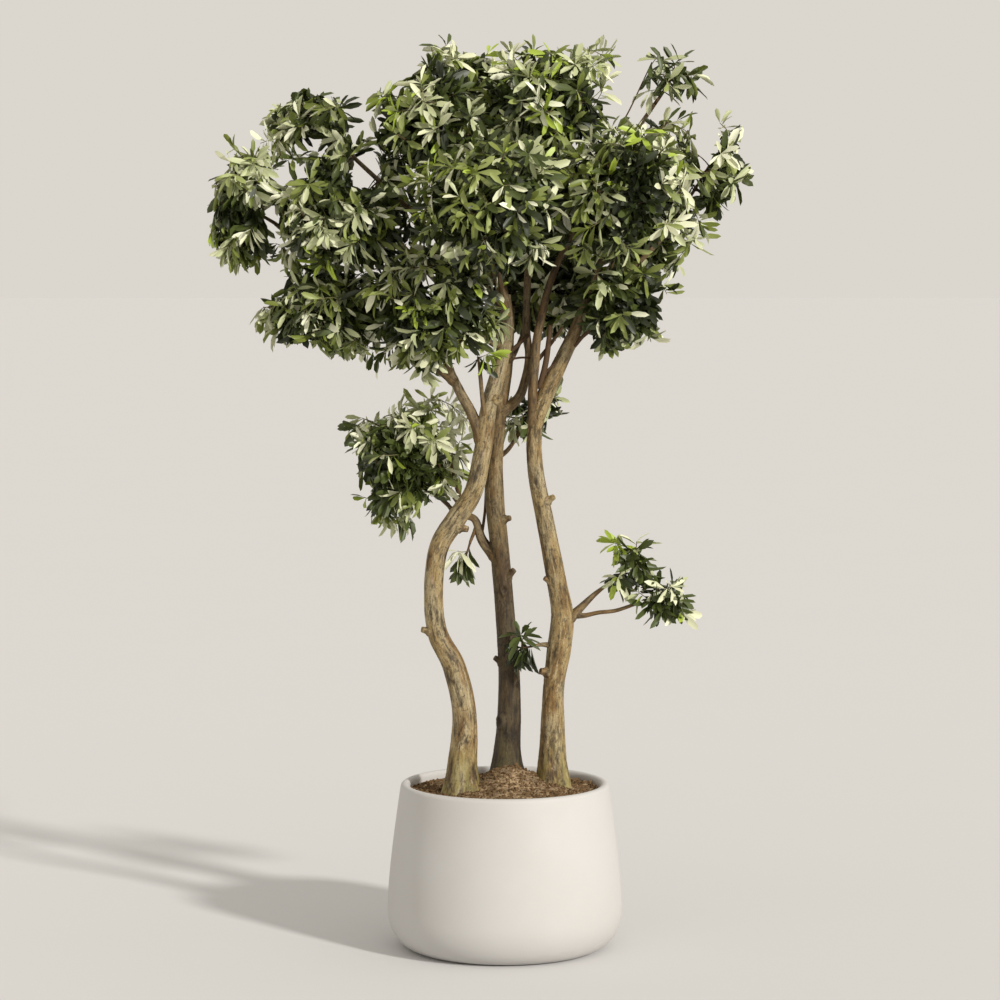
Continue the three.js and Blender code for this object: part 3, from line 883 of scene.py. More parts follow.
@dataclass
class Soil(Turned):
    """The soil: a bed with one broad mound among the stems, and the loose crumbs on it."""

    level: float = 392.0
    floor: float = 28.3
    bed_radius: float = 257.7
    top_radius: float = 238.2
    mound_height: float = 62.0
    mound_radius: float = 66.0
    mound_centre: tuple[float, float] = (14.0, -6.0)
    lump_size: float = 46.0
    lump_height: float = 12.0
    grit_size: float = 7.0
    grit_height: float = 5.0
    edge_width: float = 14.0
    edge_calm: float = 0.7
    rings: int = 72
    segments: int = 208
    smooth_angle: float = 50.0
    crumbs: int = 3600
    crumb_edge: float = 4.0
    foot_share: float = 0.93
    least_crumb: float = 1.5
    crumb_spread: float = 3.0
    small_bias: float = 1.8
    big_share: float = 0.05
    big_size: float = 1.6
    crumb_jitter: float = 0.5
    crumb_length: tuple[float, float] = (1.0, 0.8)
    crumb_thickness: tuple[float, float] = (0.35, 0.4)
    crumb_rise: float = 0.35
    crumb_smooth_angle: float = 30.0
    seed: int = 11

    # A crumb before it is bent out of shape: the twelve corners and twenty faces of an icosahedron.
    GOLDEN = (1.0 + math.sqrt(5.0)) / 2.0
    GRAIN = np.array([
        (-1, GOLDEN, 0), (1, GOLDEN, 0), (-1, -GOLDEN, 0), (1, -GOLDEN, 0),
        (0, -1, GOLDEN), (0, 1, GOLDEN), (0, -1, -GOLDEN), (0, 1, -GOLDEN),
        (GOLDEN, 0, -1), (GOLDEN, 0, 1), (-GOLDEN, 0, -1), (-GOLDEN, 0, 1),
    ]) / 1.9
    GRAIN_FACES = np.array([
        (0, 11, 5), (0, 5, 1), (0, 1, 7), (0, 7, 10), (0, 10, 11), (1, 5, 9), (5, 11, 4), (11, 10, 2),
        (10, 7, 6), (7, 1, 8), (3, 9, 4), (3, 4, 2), (3, 2, 6), (3, 6, 8), (3, 8, 9), (4, 9, 5),
        (2, 4, 11), (6, 2, 10), (8, 6, 7), (9, 8, 1),
    ])

    def surface(self, x: np.ndarray, y: np.ndarray) -> np.ndarray:
        """Height of the surface, with its lumps.

        Args:
            x: Places to the right.
            y: Places away from the front.

        Returns:
            Heights in millimetres.
        """
        distance = np.hypot(x - self.mound_centre[0], y - self.mound_centre[1])
        mound = self.mound_height * np.exp(-((distance / self.mound_radius) ** 2) / 2.0)
        places = np.stack([x, y, np.zeros_like(x)], axis=1)
        lumps = (Relief.layers(places / self.lump_size, 3, 2) - 0.5) * self.lump_height
        grit = (Relief.layers(places / self.grit_size, 5, 3) - 0.5) * self.grit_height
        edge = smooth_step(self.top_radius - self.edge_width, self.top_radius, np.hypot(x, y))
        return self.level + mound + (lumps + grit) * (1.0 - edge * self.edge_calm)

    def bed(self) -> bpy.types.Object:
        """Builds the bed: a plug whose top is drawn in ring by ring and then raised to the surface.

        Returns:
            The piece.
        """
        step = self.top_radius / (self.rings + 0.5)
        rows = [(self.bed_radius, self.floor), (self.top_radius, self.level)]
        rows += [(self.top_radius - step * (i + 1), self.level) for i in range(self.rings)]
        piece = self.turn("soil_bed", rows, self.segments)
        points = np.empty(len(piece.data.vertices) * 3)
        piece.data.vertices.foreach_get("co", points)
        places = points.reshape(-1, 3) / MM
        on_top = places[:, 2] > self.level - 0.5
        places[on_top, 2] = self.surface(places[on_top, 0], places[on_top, 1])
        piece.data.vertices.foreach_set("co", (places * MM).ravel())
        piece.data.update()
        smooth_below(piece, self.smooth_angle)
        return piece

    def scatter(
        self, numbers: np.random.Generator, feet: Sequence[tuple[float, float, float]],
    ) -> tuple[np.ndarray, np.ndarray]:
        """Scatters crumbs evenly over the bed, but not on the feet of the stems.

        Args:
            numbers: The crumbs' stream of numbers.
            feet: Place and radius of each stem's foot.

        Returns:
            Places to the right and away from the front.
        """
        radius = (self.top_radius - self.crumb_edge) * np.sqrt(numbers.random(self.crumbs))
        turn = numbers.random(self.crumbs) * 2.0 * math.pi
        x, y = radius * np.cos(turn), radius * np.sin(turn)
        clear = np.ones(self.crumbs, dtype=bool)
        for foot_x, foot_y, foot_radius in feet:
            clear &= np.hypot(x - foot_x, y - foot_y) > foot_radius * self.foot_share
        return x[clear], y[clear]

    def grains(self, numbers: np.random.Generator, x: np.ndarray, y: np.ndarray) -> np.ndarray:
        """Shapes crumbs, each turned, stretched and flattened in its own way.

        Args:
            numbers: The crumbs' stream of numbers.
            x: Their places to the right.
            y: Their places away from the front.

        Returns:
            The corners of each crumb.
        """
        count = len(x)
        size = self.least_crumb + self.crumb_spread * numbers.random(count) ** self.small_bias
        size[numbers.random(count) < self.big_share] *= self.big_size
        first = unit(numbers.normal(size=(count, 3)))
        second = unit(np.cross(first, numbers.normal(size=(count, 3))))
        frame = np.stack([first, second, np.cross(first, second)], axis=1)
        jitter = 1.0 + (numbers.random((count, len(self.GRAIN), 1)) - 0.5) * self.crumb_jitter
        length = self.crumb_length[0] + self.crumb_length[1] * numbers.random(count)
        thickness = self.crumb_thickness[0] + self.crumb_thickness[1] * numbers.random(count)
        stretch = np.stack([length, np.ones(count), thickness], axis=1)[:, None]
        shape = self.GRAIN[None] * jitter * stretch * size[:, None, None]
        centre = np.stack([x, y, self.surface(x, y) + size * self.crumb_rise], axis=1)
        return centre[:, None] + shape @ frame

    def loose_crumbs(self, feet: Sequence[tuple[float, float, float]]) -> bpy.types.Object:
        """Builds the loose crumbs as one joined mesh of small faceted grains in several tones.

        Args:
            feet: Place and radius of each stem's foot, where no crumb lies.

        Returns:
            The piece.
        """
        numbers = np.random.default_rng(self.seed)
        x, y = self.scatter(numbers, feet)
        points = self.grains(numbers, x, y)
        tone = numbers.choice(len(CrumbTone), len(x), p=[tone.value[2] for tone in CrumbTone])
        draft = MeshDraft()
        for index in range(len(CrumbTone)):
            chosen = points[tone == index]
            rows = self.GRAIN_FACES[None] + np.arange(len(chosen))[:, None, None] * len(self.GRAIN)
            draft.add(chosen.reshape(-1, 3), [(rows.reshape(-1, 3), index)])
        return draft.build("soil_crumbs", self.crumb_smooth_angle)

    def build(self, feet: Sequence[tuple[float, float, float]]) -> None:
        """Builds and dresses the bed and its crumbs.

        Args:
            feet: Place and radius of each stem's foot.
        """
        dress(self.bed(), [SoilFinish().material()], ["soil"])
        tones = []
        for tone in CrumbTone:
            colour, roughness, _ = tone.value
            tones.append(PlainFinish(f"crumb_{tone.name.lower()}", colour, roughness, 0.2).material())
        dress(self.loose_crumbs(feet), tones, ["soil"])


# ---------------------------------------------------------------- limbs


class LimbRoute:
    """A limb's centre line and radius, both smooth through the points x, y, z, radius."""

    SAMPLES_A_SPAN = 60
    SEARCH_STEP = 0.002

    def __init__(self, rows: Sequence[Sequence[float]]) -> None:
        """Takes the points.

        Args:
            rows: x, y, z and radius of each, from foot to tip.
        """
        points = np.array(rows, dtype=float)
        before = 2.0 * points[0] - points[1]
        after = 2.0 * points[-1] - points[-2]
        self.rows = np.vstack([before, points, after])
        self.spans = len(points) - 1

    def sample(self, shares: np.ndarray) -> np.ndarray:
        """Samples the route, by a cubic curve between each two of its points.

        Args:
            shares: How far along, from 0 to 1.

        Returns:
            x, y, z and radius for each share, one a row.
        """
        place = np.clip(np.asarray(shares, dtype=float), 0.0, 1.0) * self.spans
        span = np.minimum(place.astype(int), self.spans - 1)
        t = (place - span)[:, None]
        p0, p1, p2, p3 = (self.rows[span + k] for k in range(4))
        t0, t1 = (p2 - p0) / 2.0, (p3 - p1) / 2.0
        square = -3.0 * p1 + 3.0 * p2 - 2.0 * t0 - t1
        cube = 2.0 * p1 - 2.0 * p2 + t0 + t1
        return p1 + t * (t0 + t * (square + t * cube))

    def at(self, share: float) -> np.ndarray:
        """The centre line's place at a share."""
        return self.sample(np.array([share]))[0, :3]

    def radius(self, share: float) -> float:
        """The radius at a share."""
        return float(self.sample(np.array([share]))[0, 3])

    def along(self, share: float) -> np.ndarray:
        """The centre line's direction at a share.

        Args:
            share: How far along, from 0 to 1.

        Returns:
            The unit direction.
        """
        near = np.clip([share - 1e-3, share + 1e-3], 0.0, 1.0)
        low, high = self.sample(near)[:, :3]
        return unit(high - low)

    def evenly(self, spacing: float) -> np.ndarray:
        """Samples the route at even steps.

        Args:
            spacing: About how long a step is.

        Returns:
            x, y, z and radius for each place, one a row.
        """
        fine = self.sample(np.linspace(0.0, 1.0, self.spans * self.SAMPLES_A_SPAN + 1))
        run = run_along(fine[:, :3])
        steps = max(4, int(run[-1] / spacing))
        places = np.linspace(0.0, run[-1], steps + 1)
        return np.stack([np.interp(places, run, fine[:, k]) for k in range(4)], axis=1)

    def share_at_height(self, height: float) -> float:
        """The share at which the route first reaches a height.

        Args:
            height: The height.

        Returns:
            How far along, from 0 to 1.
        """
        shares = np.arange(0.0, 1.0, self.SEARCH_STEP)
        reached = self.sample(shares)[:, 2] >= height
        return float(shares[int(np.argmax(reached))]) if reached.any() else 1.0


@dataclass(frozen=True)
class Knot:
    """A healed branch scar: its height, the side of the stem that it is on, and its radius."""

    height: float
    turn: float
    radius: float


@dataclass(frozen=True)
class Stub:
    """A sawn-off stub: the height of its foot, where it points, its length and radius, and its form."""

    height: float
    towards: tuple[float, float, float]
    length: float
    radius: float
    # Its start in the stem and the run of its collar, in radii of the stem and of its own.
    start: float = 0.55
    collar_run: float = 0.45
    collar: float = 0.75
    end_share: float = 0.88
    # The worn edge of the cut: how far before the end its two rings start, and their shares of the radius.
    edge: tuple[float, float] = (1.2, 0.4)
    edge_shares: tuple[float, float] = (0.97, 0.86)
    rings: int = 9
    sides: int = 22


@dataclass
class BarkSkin:
    """The relief of bark on a limb: a slow swell, long cracks, pits and knots."""

    seed: int
    swell: float = 0.045
    crack_depth: float = 1.1
    pit_depth: float = 0.7
    knots: Sequence[Knot] = ()

    # Sizes of the pattern's features, round the limb, round it again and along it.
    SWELL_SIZE = np.array([26.0, 26.0, 70.0])
    CRACK_SIZE = np.array([8.0, 8.0, 22.0])
    PIT_SIZE = np.array([3.6, 3.6, 10.0])
    PATCH_SIZE = 22.0
    ROUGH_SIZE = 2.4
    ROUGHNESS = 0.5
    # Where in its noise each feature starts and is complete.
    PATCH_EDGE = (0.45, 0.65)
    CRACK_EDGE = (0.88, 0.98)
    PIT_EDGE = (0.66, 0.82)
    # Below the first radius the pattern is as on a limb of that radius; below the second it grows shallow.
    LEAST_GRAIN_RADIUS = 6.0
    FULL_DEPTH_RADIUS = 22.0
    # A knot has a raised ring, a hollow and a dark line: the place and breadth of each, in radii of the
    # knot, and how high, deep or dark it is.
    KNOT = ((0.85, 0.38, 0.42), (0.0, 0.45, 0.12), (0.45, 0.16, 0.75))
    KNOT_STRETCH = 0.75

    def relief(
        self, centres: np.ndarray, radii: np.ndarray, run: np.ndarray, sides: int,
    ) -> tuple[np.ndarray, np.ndarray, np.ndarray]:
        """Works out the skin of a limb.

        Args:
            centres: Points of the centre line.
            radii: Radius at each point.
            run: Length along the limb at each point.
            sides: Corners in each ring.

        Returns:
            The radius at each corner, how dark each corner is painted in cracks, pits and knot lines,
            partly the bark's own dark fissures and partly painted shade, and each corner's grain place.
        """
        angles = ring_angles(sides)
        wide = np.maximum(radii, self.LEAST_GRAIN_RADIUS)[:, None]
        grain = np.stack([
            wide * np.cos(angles), wide * np.sin(angles), np.repeat(run[:, None], sides, axis=1),
        ], axis=2).reshape(-1, 3) + self.seed * 137.0
        girth = np.repeat(radii, sides)
        small = np.clip(girth / self.FULL_DEPTH_RADIUS, 0.25, 1.0)
        swell = Relief.layers(grain / self.SWELL_SIZE, self.seed, 2) - 0.5
        ridges = 1.0 - np.abs(2.0 * Relief.layers(grain / self.CRACK_SIZE, self.seed + 3, 3) - 1.0)
        patches = smooth_step(*self.PATCH_EDGE, Relief.noise(grain / self.PATCH_SIZE, self.seed + 9))
        cracks = smooth_step(*self.CRACK_EDGE, ridges) * patches
        pits = smooth_step(*self.PIT_EDGE, Relief.layers(grain / self.PIT_SIZE, self.seed + 5, 2))
        rough = (Relief.noise(grain / self.ROUGH_SIZE, self.seed + 21) - 0.5) * self.ROUGHNESS
        skin = girth * (1.0 + swell * 2.0 * self.swell)
        skin += (rough - cracks * self.crack_depth - pits * self.pit_depth) * small
        # Painted shade in cracks and pits, over the bark's own darker fissures.
        shade = np.clip(cracks * 0.9 + pits * 0.6, 0.0, 1.0)
        for knot in self.knots:
            turn = np.tile(angles, len(run)) - math.radians(knot.turn)
            beside = ((turn + math.pi) % (2.0 * math.pi) - math.pi) * girth
            level = (np.repeat(centres[:, 2], sides) - knot.height) * self.KNOT_STRETCH
            distance = np.hypot(level, beside) / knot.radius
            ring, hollow, line = (
                strength * np.exp(-(((distance - place) / breadth) ** 2))
                for place, breadth, strength in self.KNOT
            )
            skin += knot.radius * (ring - hollow)
            shade = np.maximum(shade, line)
        return skin.reshape(-1, sides), shade, grain * MM


@dataclass
class Stem:
    """One of the three old stems, from its flare in the soil up to its tip in the crown."""

    name: str
    rows: Sequence[Sequence[float]]
    seed: int
    bark: LimbBark = LimbBark.STEM
    stubs: Sequence[Stub] = ()
    knots: Sequence[Knot] = ()
    sides: int = 76
    spacing: float = 3.9
    buried: float = 26.0
    lobes: int = 5
    lobe_depth: float = 0.1
    flare_height: float = 70.0
    toes: int = 3
    toe_depth: float = 0.2
    toe_height: float = 24.0
    buried_spread: float = 0.1
    smooth_angle: float = 60.0
    route: LimbRoute = field(init=False)

    def __post_init__(self) -> None:
        """Lays the route."""
        self.route = LimbRoute(self.rows)

    def skin(self, draft: MeshDraft) -> None:
        """Adds the stem's own bark.

        Args:
            draft: The stem's mesh.
        """
        samples = self.route.evenly(self.spacing)
        foot = samples[0]
        below = [
            (foot[0], foot[1], foot[2] - self.buried * share, foot[3] * (1.0 + self.buried_spread * share))
            for share in (1.0, 0.5)
        ]
        samples = np.vstack([below, samples])
        centres, radii = samples[:, :3], samples[:, 3]
        skin = BarkSkin(self.seed, knots=self.knots)
        girth, crack, grain = skin.relief(centres, radii, run_along(centres), self.sides)
        angles = ring_angles(self.sides)
        rise = np.maximum(centres[:, 2] - foot[2], 0.0)[:, None]
        lobes = self.lobe_depth * np.exp(-rise / self.flare_height) * np.cos(foot[2] - self.lobes * angles)
        toes = np.maximum(np.cos(self.toes * angles + self.seed), 0.0) ** 2
        girth = girth * (1.0 + lobes + self.toe_depth * np.exp(-rise / self.toe_height) * toes)
        points, faces = tube(centres, girth, self.sides)
        draft.add(points, faces, crack=crack, grain=grain)

    def stub(self, draft: MeshDraft, stub: Stub, number: int) -> None:
        """Adds a sawn-off stub with a collar at its foot and a flat cut.

        Args:
            draft: The stem's mesh.
            stub: The stub.
            number: Which of the stem's stubs it is.
        """
        share = self.route.share_at_height(stub.height)
        wood = self.route.radius(share)
        reach = wood + stub.length
        edge = [reach - back for back in stub.edge]
        places = np.concatenate([np.linspace(stub.start * wood, edge[0], stub.rings), [edge[1], reach]])
        centres = self.route.at(share) + places[:, None] * unit(np.array(stub.towards))
        out = np.maximum(places - wood, 0.0)
        collar = 1.0 + stub.collar * np.exp(-out / (stub.collar_run * stub.radius))
        radii = stub.radius * np.interp(places, [wood, reach], [1.0, stub.end_share]) * collar
        radii[-2:] *= stub.edge_shares
        skin = BarkSkin(self.seed + 40 + number, swell=0.09, crack_depth=0.8)
        girth, crack, grain = skin.relief(centres, radii, places, stub.sides)
        girth[-1] = radii[-1]
        points, faces = tube(centres, girth, stub.sides)
        faces[-1] = (faces[-1][0], 1)
        draft.add(points, faces, crack=crack, grain=grain)

    def build(self, bark: bpy.types.Material, sawn: bpy.types.Material) -> None:
        """Builds and dresses the stem.

        Args:
            bark: The material of its bark.
            sawn: The material of its stubs' cut ends.
        """
        draft = MeshDraft()
        self.skin(draft)
        for number, stub in enumerate(self.stubs):
            self.stub(draft, stub, number)
        piece = draft.build(f"{self.name}_bark", self.smooth_angle)
        dress(piece, [bark, sawn], [self.name])


@dataclass
class Bough:
    """A main bough: from inside its parent to where it enters its mass of leaves."""

    parent: str
    at: float
    mass: str
    radius: float
    tip_radius: float = 5.0
    rise: float = 0.0
    via: Sequence[Sequence[float]] = ()
    name: str = ""
    sides: int = 20
    spacing: float = 6.0
    collar: float = 0.5
    collar_run: float = 0.8
    swell: float = 0.06
    route: LimbRoute = field(init=False)
    parent_radius: float = field(init=False)

    def lay(self, parent: LimbRoute, cell: "Cell") -> None:
        """Lays the route from the parent to the mass.

        Args:
            parent: The parent's route.
            cell: The space of the bough's mass.
        """
        start = parent.at(self.at)
        rows = [list(row) for row in self.via]
        end = cell.entry(np.array(rows[-1][:3]) if rows else start)
        if not rows:
            middle = (start + end) / 2.0
            middle[2] += self.rise * np.linalg.norm(end - start)
            rows = [[*middle, (self.radius + self.tip_radius) / 2.0]]
        self.route = LimbRoute([[*start, self.radius], *rows, [*end, self.tip_radius]])
        self.parent_radius = parent.radius(self.at)

    def build(self, bark: bpy.types.Material, seed: int) -> None:
        """Builds and dresses the bough, with a collar where it leaves its parent.

        Args:
            bark: The material of its bark.
            seed: Which bark relief it has.
        """
        samples = self.route.evenly(self.spacing)
        centres, radii = samples[:, :3], samples[:, 3]
        run = run_along(centres)
        out = np.maximum(run - self.parent_radius, 0.0)
        radii = radii * (1.0 + self.collar * np.exp(-out / (self.collar_run * self.parent_radius)))
        skin = BarkSkin(seed, swell=self.swell)
        girth, crack, grain = skin.relief(centres, radii, run, self.sides)
        draft = MeshDraft()
        points, faces = tube(centres, girth, self.sides)
        draft.add(points, faces, crack=crack, grain=grain)
        dress(draft.build(f"{self.name}_bark"), [bark], [self.name])


# ---------------------------------------------------------------- masses of leaves


class Cell:
    """The space that a mass keeps to: its ellipsoid, cut by a plane towards each of its neighbours."""

    GAP = 0.3
    ENTRY_MARGIN = 13.0
    ENTRY_DEPTH = 0.9
    ENTRY_STEP = 0.01

    def __init__(self, centre: Sequence[float], reach: Sequence[float]) -> None:
        """Takes the ellipsoid's centre and its reach along each axis."""
        self.centre = np.array(centre, dtype=float)
        self.reach = np.array(reach, dtype=float)
        self.planes: list[tuple[np.ndarray, float]] = []

    def extent(self, direction: np.ndarray) -> float:
        """How far the ellipsoid reaches from its centre in a direction."""
        return 1.0 / float(np.linalg.norm(direction / self.reach))

    def give_way_to(self, other: "Cell") -> None:
        """Gives way to a neighbour, each in proportion to its size.

        Args:
            other: The neighbour.
        """
        towards = other.centre - self.centre
        distance = float(np.linalg.norm(towards))
        towards = towards / distance
        share = self.extent(towards) / (self.extent(towards) + other.extent(towards))
        self.planes.append((towards, float(towards @ self.centre) + distance * share - 2.0 * self.GAP))

    def depth(self, points: np.ndarray) -> np.ndarray:
        """How far out points lie: 0 at the centre and 1 on the ellipsoid."""
        return np.linalg.norm((points - self.centre) / self.reach, axis=-1)

    def holds(self, point: np.ndarray, margin: float = 0.0) -> bool:
        """Whether a point is in the cell, at least a margin from its planes."""
        inside = float(self.depth(point)) <= 1.0
        return inside and all(float(way @ point) <= limit - margin for way, limit in self.planes)

    def entry(self, start: np.ndarray) -> np.ndarray:
        """The first place well inside the cell on the way from a point to its centre.

        Args:
            start: The point.

        Returns:
            The place.
        """
        share = 0.0
        while share < 1.0:
            point = lerp(start, self.centre, share)
            if float(self.depth(point)) < self.ENTRY_DEPTH and self.holds(point, self.ENTRY_MARGIN):
                return point
            share += self.ENTRY_STEP
        return self.centre.copy()


# Gaps of the crown that are open to the sky, seen from the front: x, z and half sizes, as they would be
# at the planter's depth.
OPENINGS = np.array([
    (-528, 1918, 46, 15), (-345, 1926, 36, 50), (-478, 1992, 40, 13), (-576, 1798, 17, 54),
    (-355, 2068, 14, 20), (-185, 1660, 20, 18), (300, 2138, 30, 36), (470, 1880, 16, 24),
    (-296, 2208, 46, 60), (-236, 2205, 32, 50), (-332, 2135, 24, 30), (262, 2088, 26, 16),
    (-430, 2168, 95, 52), (-602, 2100, 24, 30), (-715, 1945, 34, 34), (-762, 1840, 42, 100),
    (-575, 1657, 36, 34), (-425, 1452, 30, 16), (-500, 1472, 60, 34), (-90, 2254, 30, 36),
    (125, 2264, 34, 24), (490, 2005, 25, 80), (634, 1885, 34, 60), (470, 1690, 34, 44),
    (403, 1585, 24, 50), (370, 1478, 60, 34), (205, 1500, 18, 20), (400, 2275, 80, 36),
    (380, 2078, 54, 20), (-352, 1376, 88, 48), (-151, 1068, 72, 52), (-392, 1050, 54, 74),
    (-180, 2294, 60, 26), (205, 2280, 60, 30), (-558, 2126, 36, 30), (-246, 2108, 14, 18),
    (222, 2112, 14, 30), (616, 1984, 34, 44), (594, 1864, 32, 38), (285, 1450, 44, 16),
    (-326, 1500, 12, 12), (-400, 1188, 34, 50), (133, 1288, 32, 34), (-346, 2112, 26, 12),
    (318, 1048, 44, 26), (425, 785, 40, 22), (-370, 2045, 14, 58), (-622, 1992, 14, 14),
    (-648, 1590, 34, 50), (-296, 1585, 12, 22), (-372, 1150, 30, 14), (-92, 1470, 24, 14),
    (-70, 1412, 20, 14), (-228, 1420, 20, 14), (238, 948, 26, 26), (366, 985, 22, 16),
    (345, 818, 22, 20),
], dtype=float)
# Places where the leaves are so thin that half of them are missing, in the same form.
THIN_PLACES = np.array([(410, 2150, 100, 62), (-112, 1215, 36, 90)], dtype=float)
# Where the camera's eye is.
EYE = np.array([-12.0, -7774.0, 1721.7])


def seen_through(points: np.ndarray, places: np.ndarray, margin: float = 0.0) -> np.ndarray:
    """Whether points lie in one of the places that are given as seen from the front.

    Args:
        points: Points, one a row.
        places: The places, as in OPENINGS.
        margin: How much wider than they are the places count.

    Returns:
        A truth value for each point.
    """
    away = points - EYE
    at_planter = EYE + away * (-EYE[1] / away[:, 1:2])
    across = (at_planter[:, None, 0] - places[None, :, 0]) / (places[None, :, 2] + margin)
    upward = (at_planter[:, None, 2] - places[None, :, 1]) / (places[None, :, 3] + margin)
    return (across**2 + upward**2 < 1.0).any(axis=1)


# The crown as a whole: its middle, its reach along each axis, and the height that it starts at.
CROWN_CENTRE = np.array([-40.0, 0.0, 1820.0])
CROWN_REACH = np.array([700.0, 450.0, 420.0])
CROWN_FOOT = 1400.0
# How far from its middle the crown's sprays are at their palest, in painted sunlight.
SUNNY_REACH = np.array([700.0, 640.0, 420.0])


@dataclass
class Twig:
    """One twig: its line, the twig that it leaves, and how many sprays it carries in the end."""

    line: np.ndarray
    parent: int
    load: int = 1
    least: float = 0.0
    extra: bool = False

    THINNEST = 0.75
    THICKEST = 6.0
    TIP_SHARE = 0.55

    def radii(self) -> np.ndarray:
        """Radius along the line, thicker the more it carries.

        Returns:
            The radius at each point.
        """
        foot = max(self.THINNEST + 0.5 * self.load**0.5, self.least)
        tip = max(self.THINNEST, foot * self.TIP_SHARE)
        return np.linspace(min(foot, self.THICKEST), tip, len(self.line))


class LeafBank:
    """The leaves of one tone, kept as rows until they are made into one mesh."""

    # Along the blade from 0 to 1 and across it from -1 to 1. Rim and face run foot, left, (centre,) right
    # and tip.
    RIM = [
        (0.0, 0.0), (0.2, -0.34), (0.2, 0.34), (0.52, -0.98), (0.52, 0.98), (0.85, -0.8), (0.85, 0.8),
        (1.0, 0.0),
    ]
    FACE = [
        (0.15, 0.0), (0.43, -0.6), (0.43, 0.0), (0.43, 0.6), (0.79, -0.62), (0.79, 0.0), (0.79, 0.62),
        (0.93, 0.0),
    ]
    KEEL = [(0.52, 0.0), (0.85, 0.0)]
    # How far the face lies above the rim's plane, and the keel below it, in millimetres.
    LIFT = 0.4
    # Faces of the green top and of the pale margin and underside, by their number of corners.
    TOP = {3: [(8, 9, 10), (8, 10, 11), (12, 15, 13), (13, 15, 14)], 4: [(9, 12, 13, 10), (10, 13, 14, 11)]}
    PALE = {
        3: [(0, 1, 8), (0, 8, 2), (0, 16, 1), (1, 16, 3), (0, 2, 16), (2, 4, 16), (17, 7, 5), (6, 7, 17)],
        4: [
            (1, 3, 9, 8), (3, 5, 12, 9), (5, 7, 15, 12), (8, 11, 4, 2), (11, 14, 6, 4), (14, 15, 7, 6),
            (3, 16, 17, 5), (16, 4, 6, 17),
        ],
    }
    # How many leaves a piece may have, so that it keeps under 200,000 triangles.
    MOST_IN_PIECE = 6000
    SMOOTH_ANGLE = 70.0

    def __init__(self, tone: LeafTone) -> None:
        """Starts empty."""
        self.tone = tone
        self.rows: list[np.ndarray] = []

    def add(self, rows: np.ndarray) -> None:
        """Adds leaves: foot, way and face (three numbers each), length, width, curl, fold, twist a row."""
        self.rows.append(rows)

    def build(self, nodes: Sequence[str]) -> None:
        """Makes the leaves into as few pieces as their number allows, and dresses them.

        Args:
            nodes: The nodes that they stand for.
        """
        kind = self.tone.name.lower()
        top, pale, _ = self.tone.value
        finishes = [
            PlainFinish(f"leaf_{kind}", top, 0.46, 0.55).material(),
            PlainFinish(f"leaf_{kind}_underside", pale, 0.6, 0.4).material(),
        ]
        rows = np.concatenate(self.rows)
        parts = np.array_split(rows, math.ceil(len(rows) / self.MOST_IN_PIECE))
        for number, part in enumerate(parts, 1):
            name = f"leaves_{kind}" if len(parts) == 1 else f"leaves_{kind}_{number}"
            dress(self.draft(part).build(name, self.SMOOTH_ANGLE), finishes, nodes)

    def draft(self, rows: np.ndarray) -> MeshDraft:
        """Shapes leaves.

        Args:
            rows: The leaves, as add takes them.

        Returns:
            Their mesh, with material index 0 on top and 1 elsewhere.
        """
        foot, way, face = rows[:, None, 0:3], rows[:, None, 3:6], rows[:, None, 6:9]
        length, width, curl, fold, twist = (rows[:, None, k] for k in range(9, 14))
        shape = np.array(self.RIM + self.FACE + self.KEEL)
        lift = np.repeat([0.0, self.LIFT, -self.LIFT], [len(self.RIM), len(self.FACE), len(self.KEEL)])
        y, x = shape[None, :, 0], shape[None, :, 1]
        beside = np.cross(face, way)
        across = x * width / 2.0
        height = lift[None] - curl * length * y * y + fold * np.abs(across) + twist * across * (y - 0.4)
        points = foot + way * (y * length)[..., None]
        points = points + beside * across[..., None] + face * height[..., None]
        step = np.arange(len(rows))[:, None, None] * len(shape)
        faces = []
        for finish, table in enumerate((self.TOP, self.PALE)):
            for corners, table_rows in table.items():
                faces.append(((np.array(table_rows)[None] + step).reshape(-1, corners), finish))
        draft = MeshDraft()
        draft.add(points.reshape(-1, 3), faces)
        return draft


